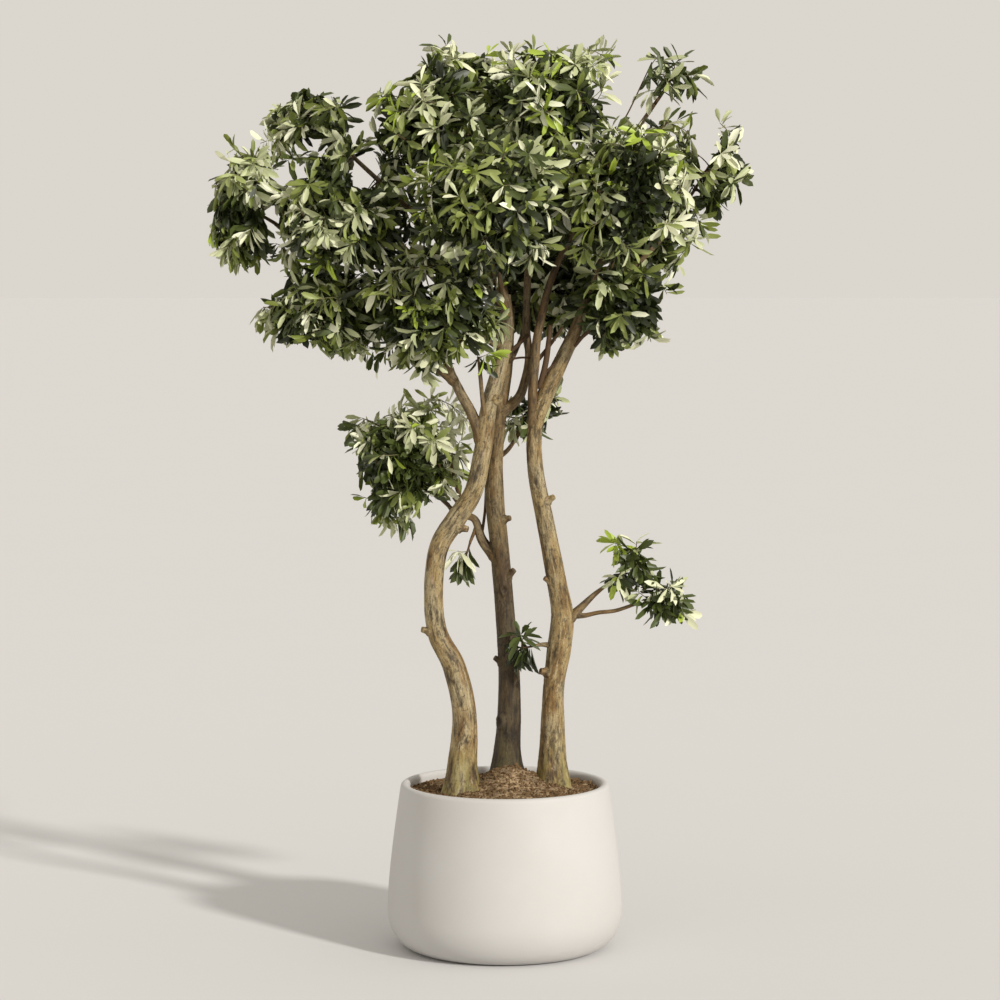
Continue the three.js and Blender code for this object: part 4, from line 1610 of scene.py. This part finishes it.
@dataclass
class Mass:
    """A mass of leaves: a cell, the seed of its twigs, and how its leaves hang."""

    centre: tuple[float, float, float]
    reach: tuple[float, float, float]
    seed: int
    droop: float = 0.25
    tries: int = 0
    extra: Sequence[tuple[float, float, float]] = ()
    name: str = ""
    cell: Cell = field(init=False)
    lean: np.ndarray = field(init=False)
    twigs: list[Twig] = field(init=False, default_factory=list)

    PER_LITRE = 4.0
    INNERMOST = 0.34
    TURN_COST = 0.35
    CROWDING = 0.42
    HOLLOW = 0.66
    LUMPS = 2.0
    LUMP_EDGE = (0.3, 0.58)
    # How much a twig bows towards the way it leaves in, and how much it sags.
    BOW = 0.16
    SAG = 0.05
    LEAN = 0.75
    # Where twigs may leave the mass's stem, and where they may leave one another besides the tip.
    STEM_SHARES = (0.35, 0.7, 1.0)
    FORK_SHARE = 0.55
    # How far a twig keeps from its mass's planes, and from an opening.
    PLANE_MARGIN = 4.0
    OPENING_MARGIN = 6.0
    # A spray's axis: how much it leans out of the mass, up and by chance.
    OUTWARD = 0.8
    UPWARD = 0.1
    ASKEW = (-0.45, 0.45)
    # Angle from the axis of the youngest and the oldest leaf, and how much it varies, in degrees.
    SPREAD = (22.0, 98.0)
    SPREAD_MORE = (-12.0, 12.0)
    # How much the turn round the axis varies, how much leaves hang, and how much their faces look up.
    TURN_MORE = (-0.35, 0.35)
    YOUNG_DROOP = 0.35
    DROOP_MORE = (-0.12, 0.12)
    SKYWARD = 0.25
    LEAF_LENGTH = 59.0
    YOUNG_LENGTH = 0.74
    LENGTH_MORE = (0.8, 1.2)
    STALK = 54.0
    STALK_SHARE = 0.8
    # Width, curl, fold and twist of the leaves, all in shares, and how far they roll, in radians.
    WIDTH = (0.23, 0.3)
    CURL = (0.0, 0.26)
    FOLD = (0.15, 0.75)
    TWIST = (-0.5, 0.5)
    ROLL = (-0.85, 0.85)

    def __post_init__(self) -> None:
        """Makes the cell, and finds how its sprays lean out of the crown."""
        self.cell = Cell(self.centre, self.reach)
        strength = self.LEAN if self.cell.centre[2] > CROWN_FOOT else 0.0
        self.lean = (self.cell.centre - CROWN_CENTRE) / CROWN_REACH * strength

    def target(self, number: int) -> np.ndarray:
        """Finds where a twig reaches to.

        Args:
            number: Its number, from 1.

        Returns:
            The place, which may lie past the cell's planes.
        """
        mean_reach = float(self.cell.reach.mean())
        outermost = max(1.0 - self.CROWDING * self.LEAF_LENGTH / mean_reach, self.INNERMOST)
        start = self.seed * (0.31 + 0.17 * np.arange(3))
        depth, height, turn = (start + number * GOLDEN_STEP) % 1.0
        cosine = 1.0 - 2.0 * height
        sine = math.sqrt(1.0 - cosine * cosine)
        angle = 2.0 * math.pi * turn
        direction = np.array([sine * math.cos(angle), sine * math.sin(angle), cosine])
        lump = Relief.noise(direction[None] * self.LUMPS + self.seed * 3.7, self.seed)
        outermost *= lerp(self.HOLLOW, 1.0, smooth_step(*self.LUMP_EDGE, lump)[0])
        radius = lerp(self.INNERMOST, outermost, math.sqrt(depth))
        return self.cell.centre + direction * self.cell.reach * radius

    def bent(self, start: np.ndarray, way: np.ndarray, end: np.ndarray, points: int = 6) -> np.ndarray:
        """A line that sags a little.

        Args:
            start: Where it starts.
            way: The direction that it leaves in.
            end: Where it ends.
            points: How many points it has.

        Returns:
            Its points, one a row.
        """
        distance = float(np.linalg.norm(end - start))
        bow = (start + end) / 2.0 + way * self.BOW * distance - UP * self.SAG * distance
        t = np.linspace(0.0, 1.0, points)[:, None]
        return (1.0 - t) ** 2 * start + 2.0 * t * (1.0 - t) * bow + t * t * end

    def ends(self) -> list[np.ndarray]:
        """Where the twigs that the rule gives reach to, without those past the cell or in an opening.

        Returns:
            The places.
        """
        volume = 4.0 / 3.0 * math.pi * float(np.prod(self.cell.reach)) * 1e-6
        tries = self.tries or round(self.PER_LITRE * volume)
        by_rule = [self.target(number) for number in range(1, tries + 1)]
        by_rule = [end for end in by_rule if self.cell.holds(end, self.PLANE_MARGIN)]
        clear = ~seen_through(np.array(by_rule), OPENINGS, self.OPENING_MARGIN)
        return [end for end, kept in zip(by_rule, clear) if kept]

    def grow(self, bough: LimbRoute) -> None:
        """Grows the twigs: a stem from the bough's tip to the heart, and what branches from it by the rule.

        Args:
            bough: The route of the bough that carries the mass.
        """
        start, heart = bough.at(1.0), self.cell.centre
        stem = self.bent(start, bough.along(1.0), heart, 8)
        self.twigs = [Twig(stem, -1, least=bough.radius(1.0))]
        places = [lerp(start, heart, share) for share in self.STEM_SHARES]
        ways = [unit(heart - start)] * len(places)
        owners = [(0, share) for share in self.STEM_SHARES]
        ends = self.ends()
        for number, end in enumerate(ends + [np.array(place, dtype=float) for place in self.extra]):
            away = end - np.array(places)
            distance = np.linalg.norm(away, axis=1)
            turn = 1.0 - np.sum(unit(away) * np.array(ways), axis=1)
            best = int(np.argmin(distance * (1.0 + self.TURN_COST * turn)))
            owner, share = owners[best]
            line = self.twigs[owner].line
            shares = np.linspace(0.0, 1.0, len(line))
            foot = np.array([np.interp(share, shares, line[:, axis]) for axis in range(3)])
            index = len(self.twigs)
            self.twigs.append(Twig(self.bent(foot, ways[best], end), owner, extra=number >= len(ends)))
            places += [lerp(foot, end, self.FORK_SHARE), end]
            ways += [unit(end - foot)] * 2
            owners += [(index, self.FORK_SHARE), (index, 1.0)]
        for twig in reversed(self.twigs):
            if twig.parent >= 0:
                self.twigs[twig.parent].load += twig.load

    def spray(self, twig: Twig, numbers: SeededNumbers, count: int) -> np.ndarray:
        """The leaves of one spray, set spirally back from its tip.

        Args:
            twig: The twig that carries them.
            numbers: The mass's stream of numbers.
            count: How many leaves.

        Returns:
            Rows as LeafBank.add takes them.
        """
        tip = twig.line[-1]
        along = unit(twig.line[-1] - twig.line[-2])
        outward = (tip - self.cell.centre) / self.cell.reach
        jitter = np.array([numbers.between(*self.ASKEW) for _ in range(3)])
        axis = unit(along + self.OUTWARD * outward + self.lean + jitter + UP * self.UPWARD)
        side = unit(np.cross(np.array([axis[1], -axis[0], 0.01]), axis))
        other = np.cross(axis, side)
        first_turn = numbers() * 2.0 * math.pi
        stalk = min(self.STALK, self.STALK_SHARE * float(np.linalg.norm(tip - twig.line[0])))
        rows = []
        for index in range(count):
            age = index / max(count - 1, 1)
            turn = first_turn + index * GOLDEN_ANGLE + numbers.between(*self.TURN_MORE)
            spread = math.radians(lerp(*self.SPREAD, age**0.8) + numbers.between(*self.SPREAD_MORE))
            ring = side * math.cos(turn) + other * math.sin(turn)
            way = axis * math.cos(spread) + ring * math.sin(spread)
            hang = self.droop * (self.YOUNG_DROOP + age) + numbers.between(*self.DROOP_MORE)
            way = unit(way - UP * hang)
            face = unit(axis - way * float(axis @ way) + UP * self.SKYWARD * (1.0 - way[2] ** 2))
            face = unit(face - way * float(face @ way))
            roll = numbers.between(*self.ROLL)
            face = face * math.cos(roll) + np.cross(way, face) * math.sin(roll)
            grown = lerp(self.YOUNG_LENGTH, 1.0, min(1.0, age * 2.0))
            length = self.LEAF_LENGTH * grown * numbers.between(*self.LENGTH_MORE)
            seat = tip - along * stalk * age**1.5
            width = length * numbers.between(*self.WIDTH)
            form = [numbers.between(*limits) for limits in (self.CURL, self.FOLD, self.TWIST)]
            rows.append([*seat, *way, *face, length, width, *form])
        return np.array(rows)


@dataclass
class Crown:
    """All the masses, their twigs and their leaves."""

    masses: dict[str, Mass]
    side_twigs: Sequence[Sequence[Sequence[float]]] = ()
    leaves_a_spray: int = 14
    # How far the tips of leaves may stand past their mass, and how much that varies.
    overhang: float = 22.0
    ragged: float = 12.0
    front: float = -478.0
    back: float = 518.0
    # The share of leaves with their spray's own tone, and how far out a spray counts as inside, where it
    # takes only the deep tones of painted shade.
    own_tone: float = 0.6
    inner: float = 0.6
    # Tones are painted light: they run from deep to pale as a number from 0 to 1 to the power of the bias,
    # in painted shade and in painted sun, and grow paler towards the top and the right.
    shade_bias: float = 2.1
    sun_bias: float = 0.42
    sun_side: float = 0.05
    sun_above: float = 0.35
    highest: float = 0.65
    height_below: float = 0.4
    clearance: float = 3.0
    checked_at: tuple[float, float] = (0.45, 0.95)
    limb_step: float = 9.0
    limb_range: float = 90.0
    twig_sides: int = 5
    side_twig_sides: int = 9
    side_twig_step: float = 8.0

    def clear_of_limbs(self, rows: np.ndarray, limbs: np.ndarray) -> np.ndarray:
        """Which leaves keep clear of the limbs.

        Args:
            rows: Leaves, as LeafBank.add takes them.
            limbs: Places and radii along all the limbs.

        Returns:
            A truth value for each leaf.
        """
        clear = np.ones(len(rows), dtype=bool)
        for share in self.checked_at:
            place = rows[:, 0:3] + rows[:, 3:6] * rows[:, 9:10] * share
            away = np.linalg.norm(place[:, None] - limbs[None, :, :3], axis=2)
            clear &= (away > limbs[None, :, 3] + self.clearance).all(axis=1)
        return clear

    def kept(
        self, mass: Mass, twig: Twig, leaves: np.ndarray, limbs: np.ndarray, numbers: SeededNumbers,
    ) -> np.ndarray:
        """Takes out leaves that stand too far out, lie in an opening or touch a limb.

        Args:
            mass: The mass that they belong to.
            twig: The twig that carries them.
            leaves: Leaves, as LeafBank.add takes them.
            limbs: Places and radii along the limbs near by.
            numbers: The mass's stream of numbers.

        Returns:
            The leaves that stay.
        """
        tip = leaves[:, 0:3] + leaves[:, 3:6] * leaves[:, 9:10]
        middle = leaves[:, 0:3] + leaves[:, 3:6] * leaves[:, 9:10] * 0.5
        overhang = self.overhang + numbers.between(-self.ragged, self.ragged)
        ragged = numbers.between(-self.ragged, self.ragged)
        stay = (mass.cell.depth(tip) <= 1.0 + overhang / float(mass.cell.reach.mean())) | twig.extra
        stay &= (tip[:, 1] > self.front) & (tip[:, 1] < self.back)
        stay &= ~seen_through(tip, OPENINGS, ragged) & ~seen_through(middle, OPENINGS, ragged)
        stay &= ~seen_through(middle, THIN_PLACES) | (np.arange(len(leaves)) % 2 == 0)
        stay &= self.clear_of_limbs(leaves, limbs)
        return leaves[stay]

    def tones(self, mass: Mass, twig: Twig, count: int, numbers: SeededNumbers) -> list[LeafTone]:
        """Deals out tones to a spray's leaves as painted light: deep painted shade inside, and paler
        painted sunlight the further out and the higher.

        Args:
            mass: The mass that the spray belongs to.
            twig: The twig that carries it.
            count: How many leaves.
            numbers: The mass's stream of numbers.

        Returns:
            The tone of each leaf.
        """
        tip = twig.line[-1]
        inside = float(mass.cell.depth(tip)) < self.inner
        outward = (tip - CROWN_CENTRE) / SUNNY_REACH
        sunny = min(1.0, float(np.linalg.norm(outward)))
        height = self.height_below
        if tip[2] > CROWN_FOOT:
            height = max(-self.highest, min(self.highest, float(outward[2])))
        bias = lerp(self.shade_bias, self.sun_bias, sunny)
        bias *= (1.0 - self.sun_side * outward[0]) * (1.0 - self.sun_above * height)
        own = numbers() ** bias * TONE_SHARES[1 if inside else -1]
        picks = [
            own if numbers() < self.own_tone or inside else numbers() ** bias * TONE_SHARES[-1]
            for _ in range(count)
        ]
        return [list(LeafTone)[index] for index in np.searchsorted(TONE_SHARES, picks)]

    def build(self, boughs: dict[str, Bough], stems: dict[str, Stem]) -> None:
        """Grows and dresses the whole crown.

        Args:
            boughs: The boughs, each with its route laid.
            stems: The stems.
        """
        routes = [limb.route for limb in (*stems.values(), *boughs.values())]
        limbs = np.vstack([route.evenly(self.limb_step) for route in routes])
        banks = {tone: LeafBank(tone) for tone in LeafTone}
        woods = {wood: MeshDraft() for wood in TwigWood}
        for rows in self.side_twigs:
            samples = LimbRoute(rows).evenly(self.side_twig_step)
            woods[TwigWood.BROWN].add(*tube(samples[:, :3], samples[:, 3], self.side_twig_sides))
        total = 0
        for bough in boughs.values():
            mass = self.masses[bough.mass]
            mass.grow(bough.route)
            numbers = SeededNumbers(mass.seed)
            away = np.linalg.norm(limbs[:, :3] - mass.cell.centre, axis=1)
            near = limbs[away < mass.cell.reach.max() + self.limb_range]
            for twig in mass.twigs:
                wood = TwigWood.YOUNG if twig.load == 1 else TwigWood.BROWN
                woods[wood].add(*tube(twig.line, twig.radii(), self.twig_sides))
                leaves = mass.spray(twig, numbers, self.leaves_a_spray)
                leaves = self.kept(mass, twig, leaves, near, numbers)
                for tone, leaf in zip(self.tones(mass, twig, len(leaves), numbers), leaves):
                    banks[tone].add(leaf[None])
                total += len(leaves)
        log.info("crown: %d sprays, %d leaves", sum(len(m.twigs) for m in self.masses.values()), total)
        nodes = list(self.masses)
        for wood, draft in woods.items():
            piece = draft.build(f"twigs_{wood.name.lower()}")
            dress(piece, [wood.value.material()], nodes)
        for bank in banks.values():
            bank.build(nodes)


# ---------------------------------------------------------------- studio


@dataclass
class Studio:
    """The pale floor, the soft light and the camera."""

    lens: float = 113.4
    sensor: float = 36.0
    view_depth: float = 400.0
    place: tuple[float, float, float] = (-0.012, -7.774, 1.7217)
    pitch: float = -4.447
    floor_size: float = 240.0
    sun_turn: float = 44.0
    sun_height: float = 26.0
    sun_strength: float = 2.75
    sun_angle: float = 5.0
    sun_colour: tuple[float, float, float] = (1.0, 0.975, 0.93)
    sky: tuple[int, int, int] = (219, 214, 206)

    def camera(self) -> None:
        """Sets the camera up at the front."""
        data = bpy.data.cameras.new("camera")
        data.lens = self.lens
        data.sensor_width = self.sensor
        data.clip_end = self.view_depth
        camera = bpy.data.objects.new("camera", data)
        camera.location = self.place
        camera.rotation_euler = (math.radians(90.0 + self.pitch), 0.0, 0.0)
        bpy.context.collection.objects.link(camera)
        bpy.context.scene.camera = camera

    def light(self) -> None:
        """Adds a broad warm key light from the front right, and an even pale surround."""
        sun = bpy.data.lights.new("key", "SUN")
        sun.energy = self.sun_strength
        sun.angle = math.radians(self.sun_angle)
        sun.color = self.sun_colour
        lamp = bpy.data.objects.new("key", sun)
        turn, height = math.radians(self.sun_turn), math.radians(self.sun_height)
        towards = Vector((
            math.sin(turn) * math.cos(height), -math.cos(turn) * math.cos(height), math.sin(height),
        ))
        lamp.rotation_euler = towards.to_track_quat("Z", "Y").to_euler()
        bpy.context.collection.objects.link(lamp)
        world = bpy.data.worlds.new("surround")
        bpy.context.scene.world = world
        world.use_nodes = True
        background = next(n for n in world.node_tree.nodes if n.type == "BACKGROUND")
        background.inputs["Color"].default_value = linear(*self.sky)
        background.inputs["Strength"].default_value = 1.0

    def floor(self) -> None:
        """Lays the floor."""
        bpy.ops.object.select_all(action="DESELECT")
        bpy.ops.mesh.primitive_plane_add(size=self.floor_size)
        plane = bpy.context.active_object
        plane.name = "studio_floor"
        plane.data.materials.append(FloorFinish().material())

    def build(self) -> None:
        """Sets up floor, light and camera."""
        bpy.context.scene.view_settings.view_transform = "Standard"
        self.floor()
        self.light()
        self.camera()


# ---------------------------------------------------------------- the tree's own sizes


def make_stems() -> dict[str, Stem]:
    """The stems by name, each from its foot in the soil to its tip: x, y, z and radius.

    Returns:
        The stems, with their routes laid.
    """
    left = Stem("stem_left", [
        (-106, -55, 392, 47), (-104, -55, 464, 37), (-100, -52, 593, 30), (-125, -50, 707, 28),
        (-166, -48, 792, 25), (-176, -45, 895, 23.5), (-163, -42, 1002, 24), (-122, -40, 1071, 25),
        (-78, -40, 1140, 23), (-54, -40, 1245, 22), (-40, -40, 1347, 20), (-15, -37, 1440, 19),
        (4, -32, 1538, 17), (0, -30, 1625, 14),
    ], seed=2, stubs=(
        Stub(792, (-1, -0.3, 0.25), 17, 8), Stub(1056, (0.85, -0.4, -0.15), 20, 9),
        Stub(1366, (0.85, -0.45, 0.1), 9, 9),
    ))
    middle = Stem("stem_middle", [
        (6, 88, 392, 48), (7, 88, 480, 34), (12, 86, 590, 29), (10, 84, 705, 26.5), (-1, 80, 844, 24.5),
        (-13, 76, 991, 23.5), (-25, 73, 1110, 24), (-25, 70, 1215, 20.5), (-12, 66, 1335, 17.5),
        (4, 62, 1450, 15.5), (12, 60, 1590, 13),
    ], seed=5, bark=LimbBark.SHADED_STEM, stubs=(
        Stub(690, (-0.8, -0.25, 0.55), 19, 8), Stub(903, (0.65, -0.4, 0.75), 24, 8.5),
        Stub(1058, (0.9, -0.5, 0.2), 16, 8),
    ), knots=(Knot(552, -140, 13), Knot(888, -82, 10)))
    right = Stem("stem_right", [
        (121, 25, 392, 46), (120, 25, 466, 35), (120, 25, 582, 29), (123, 25, 660, 27), (135, 25, 740, 30),
        (143, 24, 830, 27.5), (126, 22, 928, 24), (101, 20, 1060, 22.5), (77, 18, 1185, 20),
        (74, 18, 1290, 19), (98, 20, 1370, 21), (136, 18, 1453, 18.5), (171, 11, 1528, 16),
        (192, 0, 1587, 13),
    ], seed=8, stubs=(
        Stub(680, (-0.9, -0.5, 0.2), 16, 9), Stub(896, (-0.75, -0.3, 0.55), 19, 7.5),
        Stub(1106, (0.8, -0.45, 0.5), 18, 8),
    ))
    return {stem.name: stem for stem in (left, middle, right)}


def make_masses() -> dict[str, Mass]:
    """The masses of leaves by name.

    Returns:
        The masses, whose cells have given way to each other.
    """
    masses = {
        "leaves_far_left": Mass((-636, -60, 1846), (108, 125, 182), 20, droop=0.95, tries=74, extra=(
            (-642, -60, 1962), (-660, -60, 1984))),
        "leaves_upper_left": Mass((-466, 50, 2054), (144, 130, 125), 6, droop=0.35, tries=58, extra=(
            (-600, 0, 1995), (-550, 0, 1965), (-505, 0, 1960), (-590, 0, 1955))),
        "leaves_mid_left": Mass((-395, -115, 1843), (185, 180, 180), 15, droop=0.6, tries=150, extra=(
            (-560, -60, 1750), (-530, -60, 1715), (-215, -60, 1840), (-230, -60, 1780))),
        "leaves_left_back": Mass((-390, 205, 1873), (178, 172, 183), 17),
        "leaves_lower_left": Mass((-430, -20, 1587), (202, 175, 131), 5, droop=0.55, tries=128, extra=(
            (-505, -20, 1700), (-335, -20, 1685), (-535, -20, 1602), (-535, -20, 1566))),
        "leaves_top_left": Mass((-186, -125, 2066), (151, 190, 190), 18, extra=(
            (-180, -60, 2230), (-140, -60, 2230), (-290, -60, 1955), (-310, -60, 2010), (-285, -60, 1930))),
        "leaves_top_back": Mass((-93, 215, 2081), (204, 190, 183), 15),
        "leaves_top_centre": Mass((104, -90, 2091), (201, 195, 152), 12, extra=(
            (15, -40, 2210), (70, -40, 2215), (210, -40, 2220), (245, -40, 2200), (240, -40, 2125))),
        "leaves_front": Mass((-36, -290, 1852), (214, 175, 191), 3, droop=0.5, extra=(
            (90, -240, 1745), (60, -240, 1715))),
        "leaves_back": Mass((44, 330, 1832), (253, 178, 217), 23),
        "leaves_over_fork": Mass((-170, -135, 1612), (192, 175, 178), 5, droop=0.65, tries=150, extra=(
            (-205, -100, 1462), (-200, -100, 1440), (-240, -100, 1486), (-290, -60, 1490),
            (-350, -50, 1502), (-195, -90, 1665))),
        "leaves_under_back": Mass((102, 190, 1634), (193, 165, 137), 15),
        "leaves_right_front": Mass((292, -145, 1878), (194, 185, 194), 10, extra=(
            (395, -40, 2045), (380, -40, 2020), (440, -40, 2025), (420, -40, 2050), (455, -40, 2000),
            (260, -40, 2030), (475, -40, 1795), (450, -40, 1748), (425, -40, 1716),
            (150, -160, 1772), (190, -170, 1730))),
        "leaves_right_back": Mass((341, 190, 1835), (183, 178, 208), 15),
        "leaves_right_tip": Mass((500, -10, 1940), (118, 120, 142), 6, droop=0.4, tries=44, extra=(
            (532, -10, 1972), (556, -10, 1962), (560, -10, 1900))),
        "leaves_top_right": Mass((410, 20, 2155), (99, 84, 82), 14, droop=0.7, tries=9, extra=(
            (350, 20, 2122), (355, 20, 2172), (388, 20, 2192), (470, 20, 2165))),
        "leaves_lower_right": Mass((289, 15, 1604), (154, 158, 134), 12, droop=0.55, tries=70, extra=(
            (252, 15, 1520), (292, 15, 1536), (400, 15, 1625), (215, -90, 1690))),
        "leaves_low_left": Mass((-249, 60, 1210), (170, 145, 192), 17, droop=0.7, tries=100, extra=(
            (-262, 60, 1335), (-225, 60, 1345), (-185, 60, 1365), (-135, 60, 1350), (-110, 60, 1330),
            (-95, 60, 1300), (-140, 40, 1290), (-120, 50, 1235), (-150, 40, 1195), (-115, 50, 1175),
            (-298, 60, 1078), (-265, 60, 1070), (-238, 60, 1082), (-372, 60, 1290), (-112, 20, 1262),
            (-160, 40, 1142))),
        "leaves_behind_fork": Mass((81, 170, 1324), (81, 76, 81), 1, droop=0.5, tries=12, extra=(
            (22, 130, 1292), (15, 130, 1320), (128, 130, 1366))),
        "leaves_low_right_upper": Mass((311, 26, 950), (87, 74, 92), 7, droop=0.6, tries=10, extra=(
            (272, 26, 1008),)),
        "leaves_low_right_lower": Mass((402, 0, 868), (77, 70, 82), 3, droop=0.6, tries=10, extra=(
            (330, 10, 888), (440, 0, 838))),
        "leaves_small_left": Mass((40, 4, 748), (36, 34, 69), 5, droop=0.7, tries=2, extra=((40, 4, 782),)),
        "leaves_hanging": Mass((-100, 62, 962), (40, 36, 54), 15, droop=1.4, tries=1, extra=(
            (-118, 60, 985),)),
        "leaves_fork_cluster": Mass((-66, -98, 1474), (39, 40, 51), 15, droop=0.9, tries=5, extra=(
            (-38, -98, 1484),)),
    }
    for name, mass in masses.items():
        mass.name = name
        for other in masses.values():
            if other is not mass:
                mass.cell.give_way_to(other.cell)
    return masses


def make_side_twigs() -> list[list[tuple[float, float, float, float]]]:
    """Thin bare twigs among the limbs, each from its foot to its tip: x, y, z and radius.

    Returns:
        The rows of each twig.
    """
    return [
        [(0, 35, 1470, 6), (30, 32, 1498, 5), (60, 28, 1525, 4.4)],
        [(84, 12, 1392, 7), (99, 6, 1448, 7.5), (107, 4, 1500, 7), (112, 2, 1550, 6)],
        [(-2, 35, 1460, 3), (35, 32, 1468, 2.7), (67, 28, 1468, 2.6)],
        [(82, 15, 1463, 5.2), (111, 10, 1500, 4.6), (143, 5, 1545, 4)],
        [(82, 15, 1406, 3.6), (104, 5, 1436, 3), (129, 0, 1461, 2.4)],
        [(171, 5, 1498, 4.8), (210, -5, 1540, 3.8), (244, -10, 1560, 3), (300, -15, 1570, 2)],
        [(-60, 86, 1010, 4.2), (-50, 90, 1080, 3.6), (-47, 92, 1150, 3)],
        [(251, 10, 2001, 2.2), (295, 14, 2057, 1.9), (334, 18, 2136, 1.6), (361, 20, 2194, 1.3)],
        [(-104, 75, 1086, 5.2), (-142, 55, 1143, 4.6), (-166, 40, 1209, 3.8), (-183, 30, 1262, 3)],
        [(-92, 75, 1099, 5.2), (-117, 55, 1133, 4.6), (-131, 40, 1194, 3.8), (-146, 30, 1249, 3)],
    ]


def make_boughs() -> dict[str, Bough]:
    """The boughs by name, parents before what they carry.

    Returns:
        The boughs, with no route yet.
    """
    boughs = {
        "bough_left_fork": Bough("stem_left", 0.7, "leaves_mid_left", 13, via=(
            (-81, -44, 1332, 13), (-110, -50, 1387, 12), (-137, -55, 1446, 11), (-147, -58, 1502, 9.5),
            (-181, -62, 1576, 8.5))),
        "bough_left_low": Bough("bough_left_fork", 0.4, "leaves_lower_left", 8.5, via=(
            (-198, -58, 1465, 7.8), (-264, -62, 1512, 6.5))),
        "bough_far_left": Bough("bough_left_fork", 0.78, "leaves_far_left", 8, rise=-0.08),
        "bough_upper_left": Bough("stem_left", 0.965, "leaves_upper_left", 9, rise=0.02),
        "bough_top_left": Bough("stem_left", 0.985, "leaves_top_left", 10),
        "bough_front": Bough("stem_left", 0.95, "leaves_front", 9, rise=-0.1),
        "bough_over_fork": Bough("stem_left", 0.89, "leaves_over_fork", 7, rise=-0.12),
        "bough_fork_cluster": Bough("stem_left", 0.745, "leaves_fork_cluster", 5.5, rise=-0.2),
        "bough_middle_right": Bough("stem_middle", 0.795, "leaves_top_centre", 11.5, via=(
            (32, 62, 1365, 11.5), (49, 60, 1407, 11), (60, 56, 1470, 10.5), (53, 50, 1550, 10),
            (62, 20, 1760, 8))),
        "bough_low_left": Bough("stem_middle", 0.475, "leaves_low_left", 13, via=(
            (-55, 84, 1008, 12), (-76, 90, 1062, 10), (-120, 94, 1074, 8.5))),
        "bough_hanging": Bough("bough_low_left", 0.42, "leaves_hanging", 4.5, 3.2, via=(
            (-84, 82, 1012, 4),)),
        "bough_top_back": Bough("stem_middle", 0.99, "leaves_top_back", 9.5),
        "bough_back": Bough("stem_middle", 0.97, "leaves_back", 9, rise=-0.1),
        "bough_left_back": Bough("stem_middle", 0.94, "leaves_left_back", 9, rise=-0.04),
        "bough_under_back": Bough("stem_middle", 0.9, "leaves_under_back", 7, rise=-0.1),
        "bough_behind_fork": Bough("stem_middle", 0.7, "leaves_behind_fork", 5.5, rise=-0.12),
        "bough_right_inner": Bough("stem_right", 0.7, "leaves_top_right", 12.5, via=(
            (70, 14, 1344, 12.5), (69, 8, 1389, 12), (74, 2, 1454, 11.5), (84, 0, 1540, 10.5),
            (130, 15, 1700, 8.5), (260, 30, 1930, 6.5))),
        "bough_right_up": Bough("stem_right", 0.985, "leaves_right_front", 9, rise=-0.04),
        "bough_right_out": Bough("stem_right", 0.99, "leaves_right_tip", 9, via=(
            (229, -4, 1620, 8.5), (276, -8, 1650, 7.5), (400, -6, 1780, 6))),
        "bough_right_back": Bough("bough_right_out", 0.22, "leaves_right_back", 8, rise=-0.05),
        "bough_lower_right": Bough("stem_right", 0.88, "leaves_lower_right", 5.5, rise=-0.08),
        "bough_low_right_upper": Bough("stem_right", 0.36, "leaves_low_right_upper", 11, 4.0, via=(
            (190, 25, 847, 9), (222, 26, 878, 6.5))),
        "bough_low_right_lower": Bough("bough_low_right_upper", 0.2, "leaves_low_right_lower", 7, 3.6, via=(
            (197, 21, 827, 6), (232, 15, 835, 5.2), (276, 8, 841, 4.8), (320, 4, 856, 4.2))),
        "bough_small_left": Bough("stem_right", 0.315, "leaves_small_left", 5.5, 3.2, via=(
            (96, 14, 755, 4.4),)),
    }
    for name, bough in boughs.items():
        bough.name = name
    return boughs


def main() -> None:
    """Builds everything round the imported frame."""
    logging.basicConfig(level=logging.INFO, format="%(message)s")
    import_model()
    Studio().build()
    stems = make_stems()
    masses = make_masses()
    boughs = make_boughs()
    Planter().build()
    Soil().build([(stem.rows[0][0], stem.rows[0][1], stem.rows[0][3]) for stem in stems.values()])
    barks = {bark: bark.value.material() for bark in LimbBark}
    sawn = SawnFinish().material()
    for stem in stems.values():
        stem.build(barks[stem.bark], sawn)
    routes = {name: stem.route for name, stem in stems.items()}
    for seed, bough in enumerate(boughs.values(), FIRST_BOUGH_SEED):
        bough.lay(routes[bough.parent], masses[bough.mass].cell)
        routes[bough.name] = bough.route
        bough.build(barks[LimbBark.BOUGH], seed)
    Crown(masses, make_side_twigs()).build(boughs, stems)


if __name__ == "__main__":
    main()
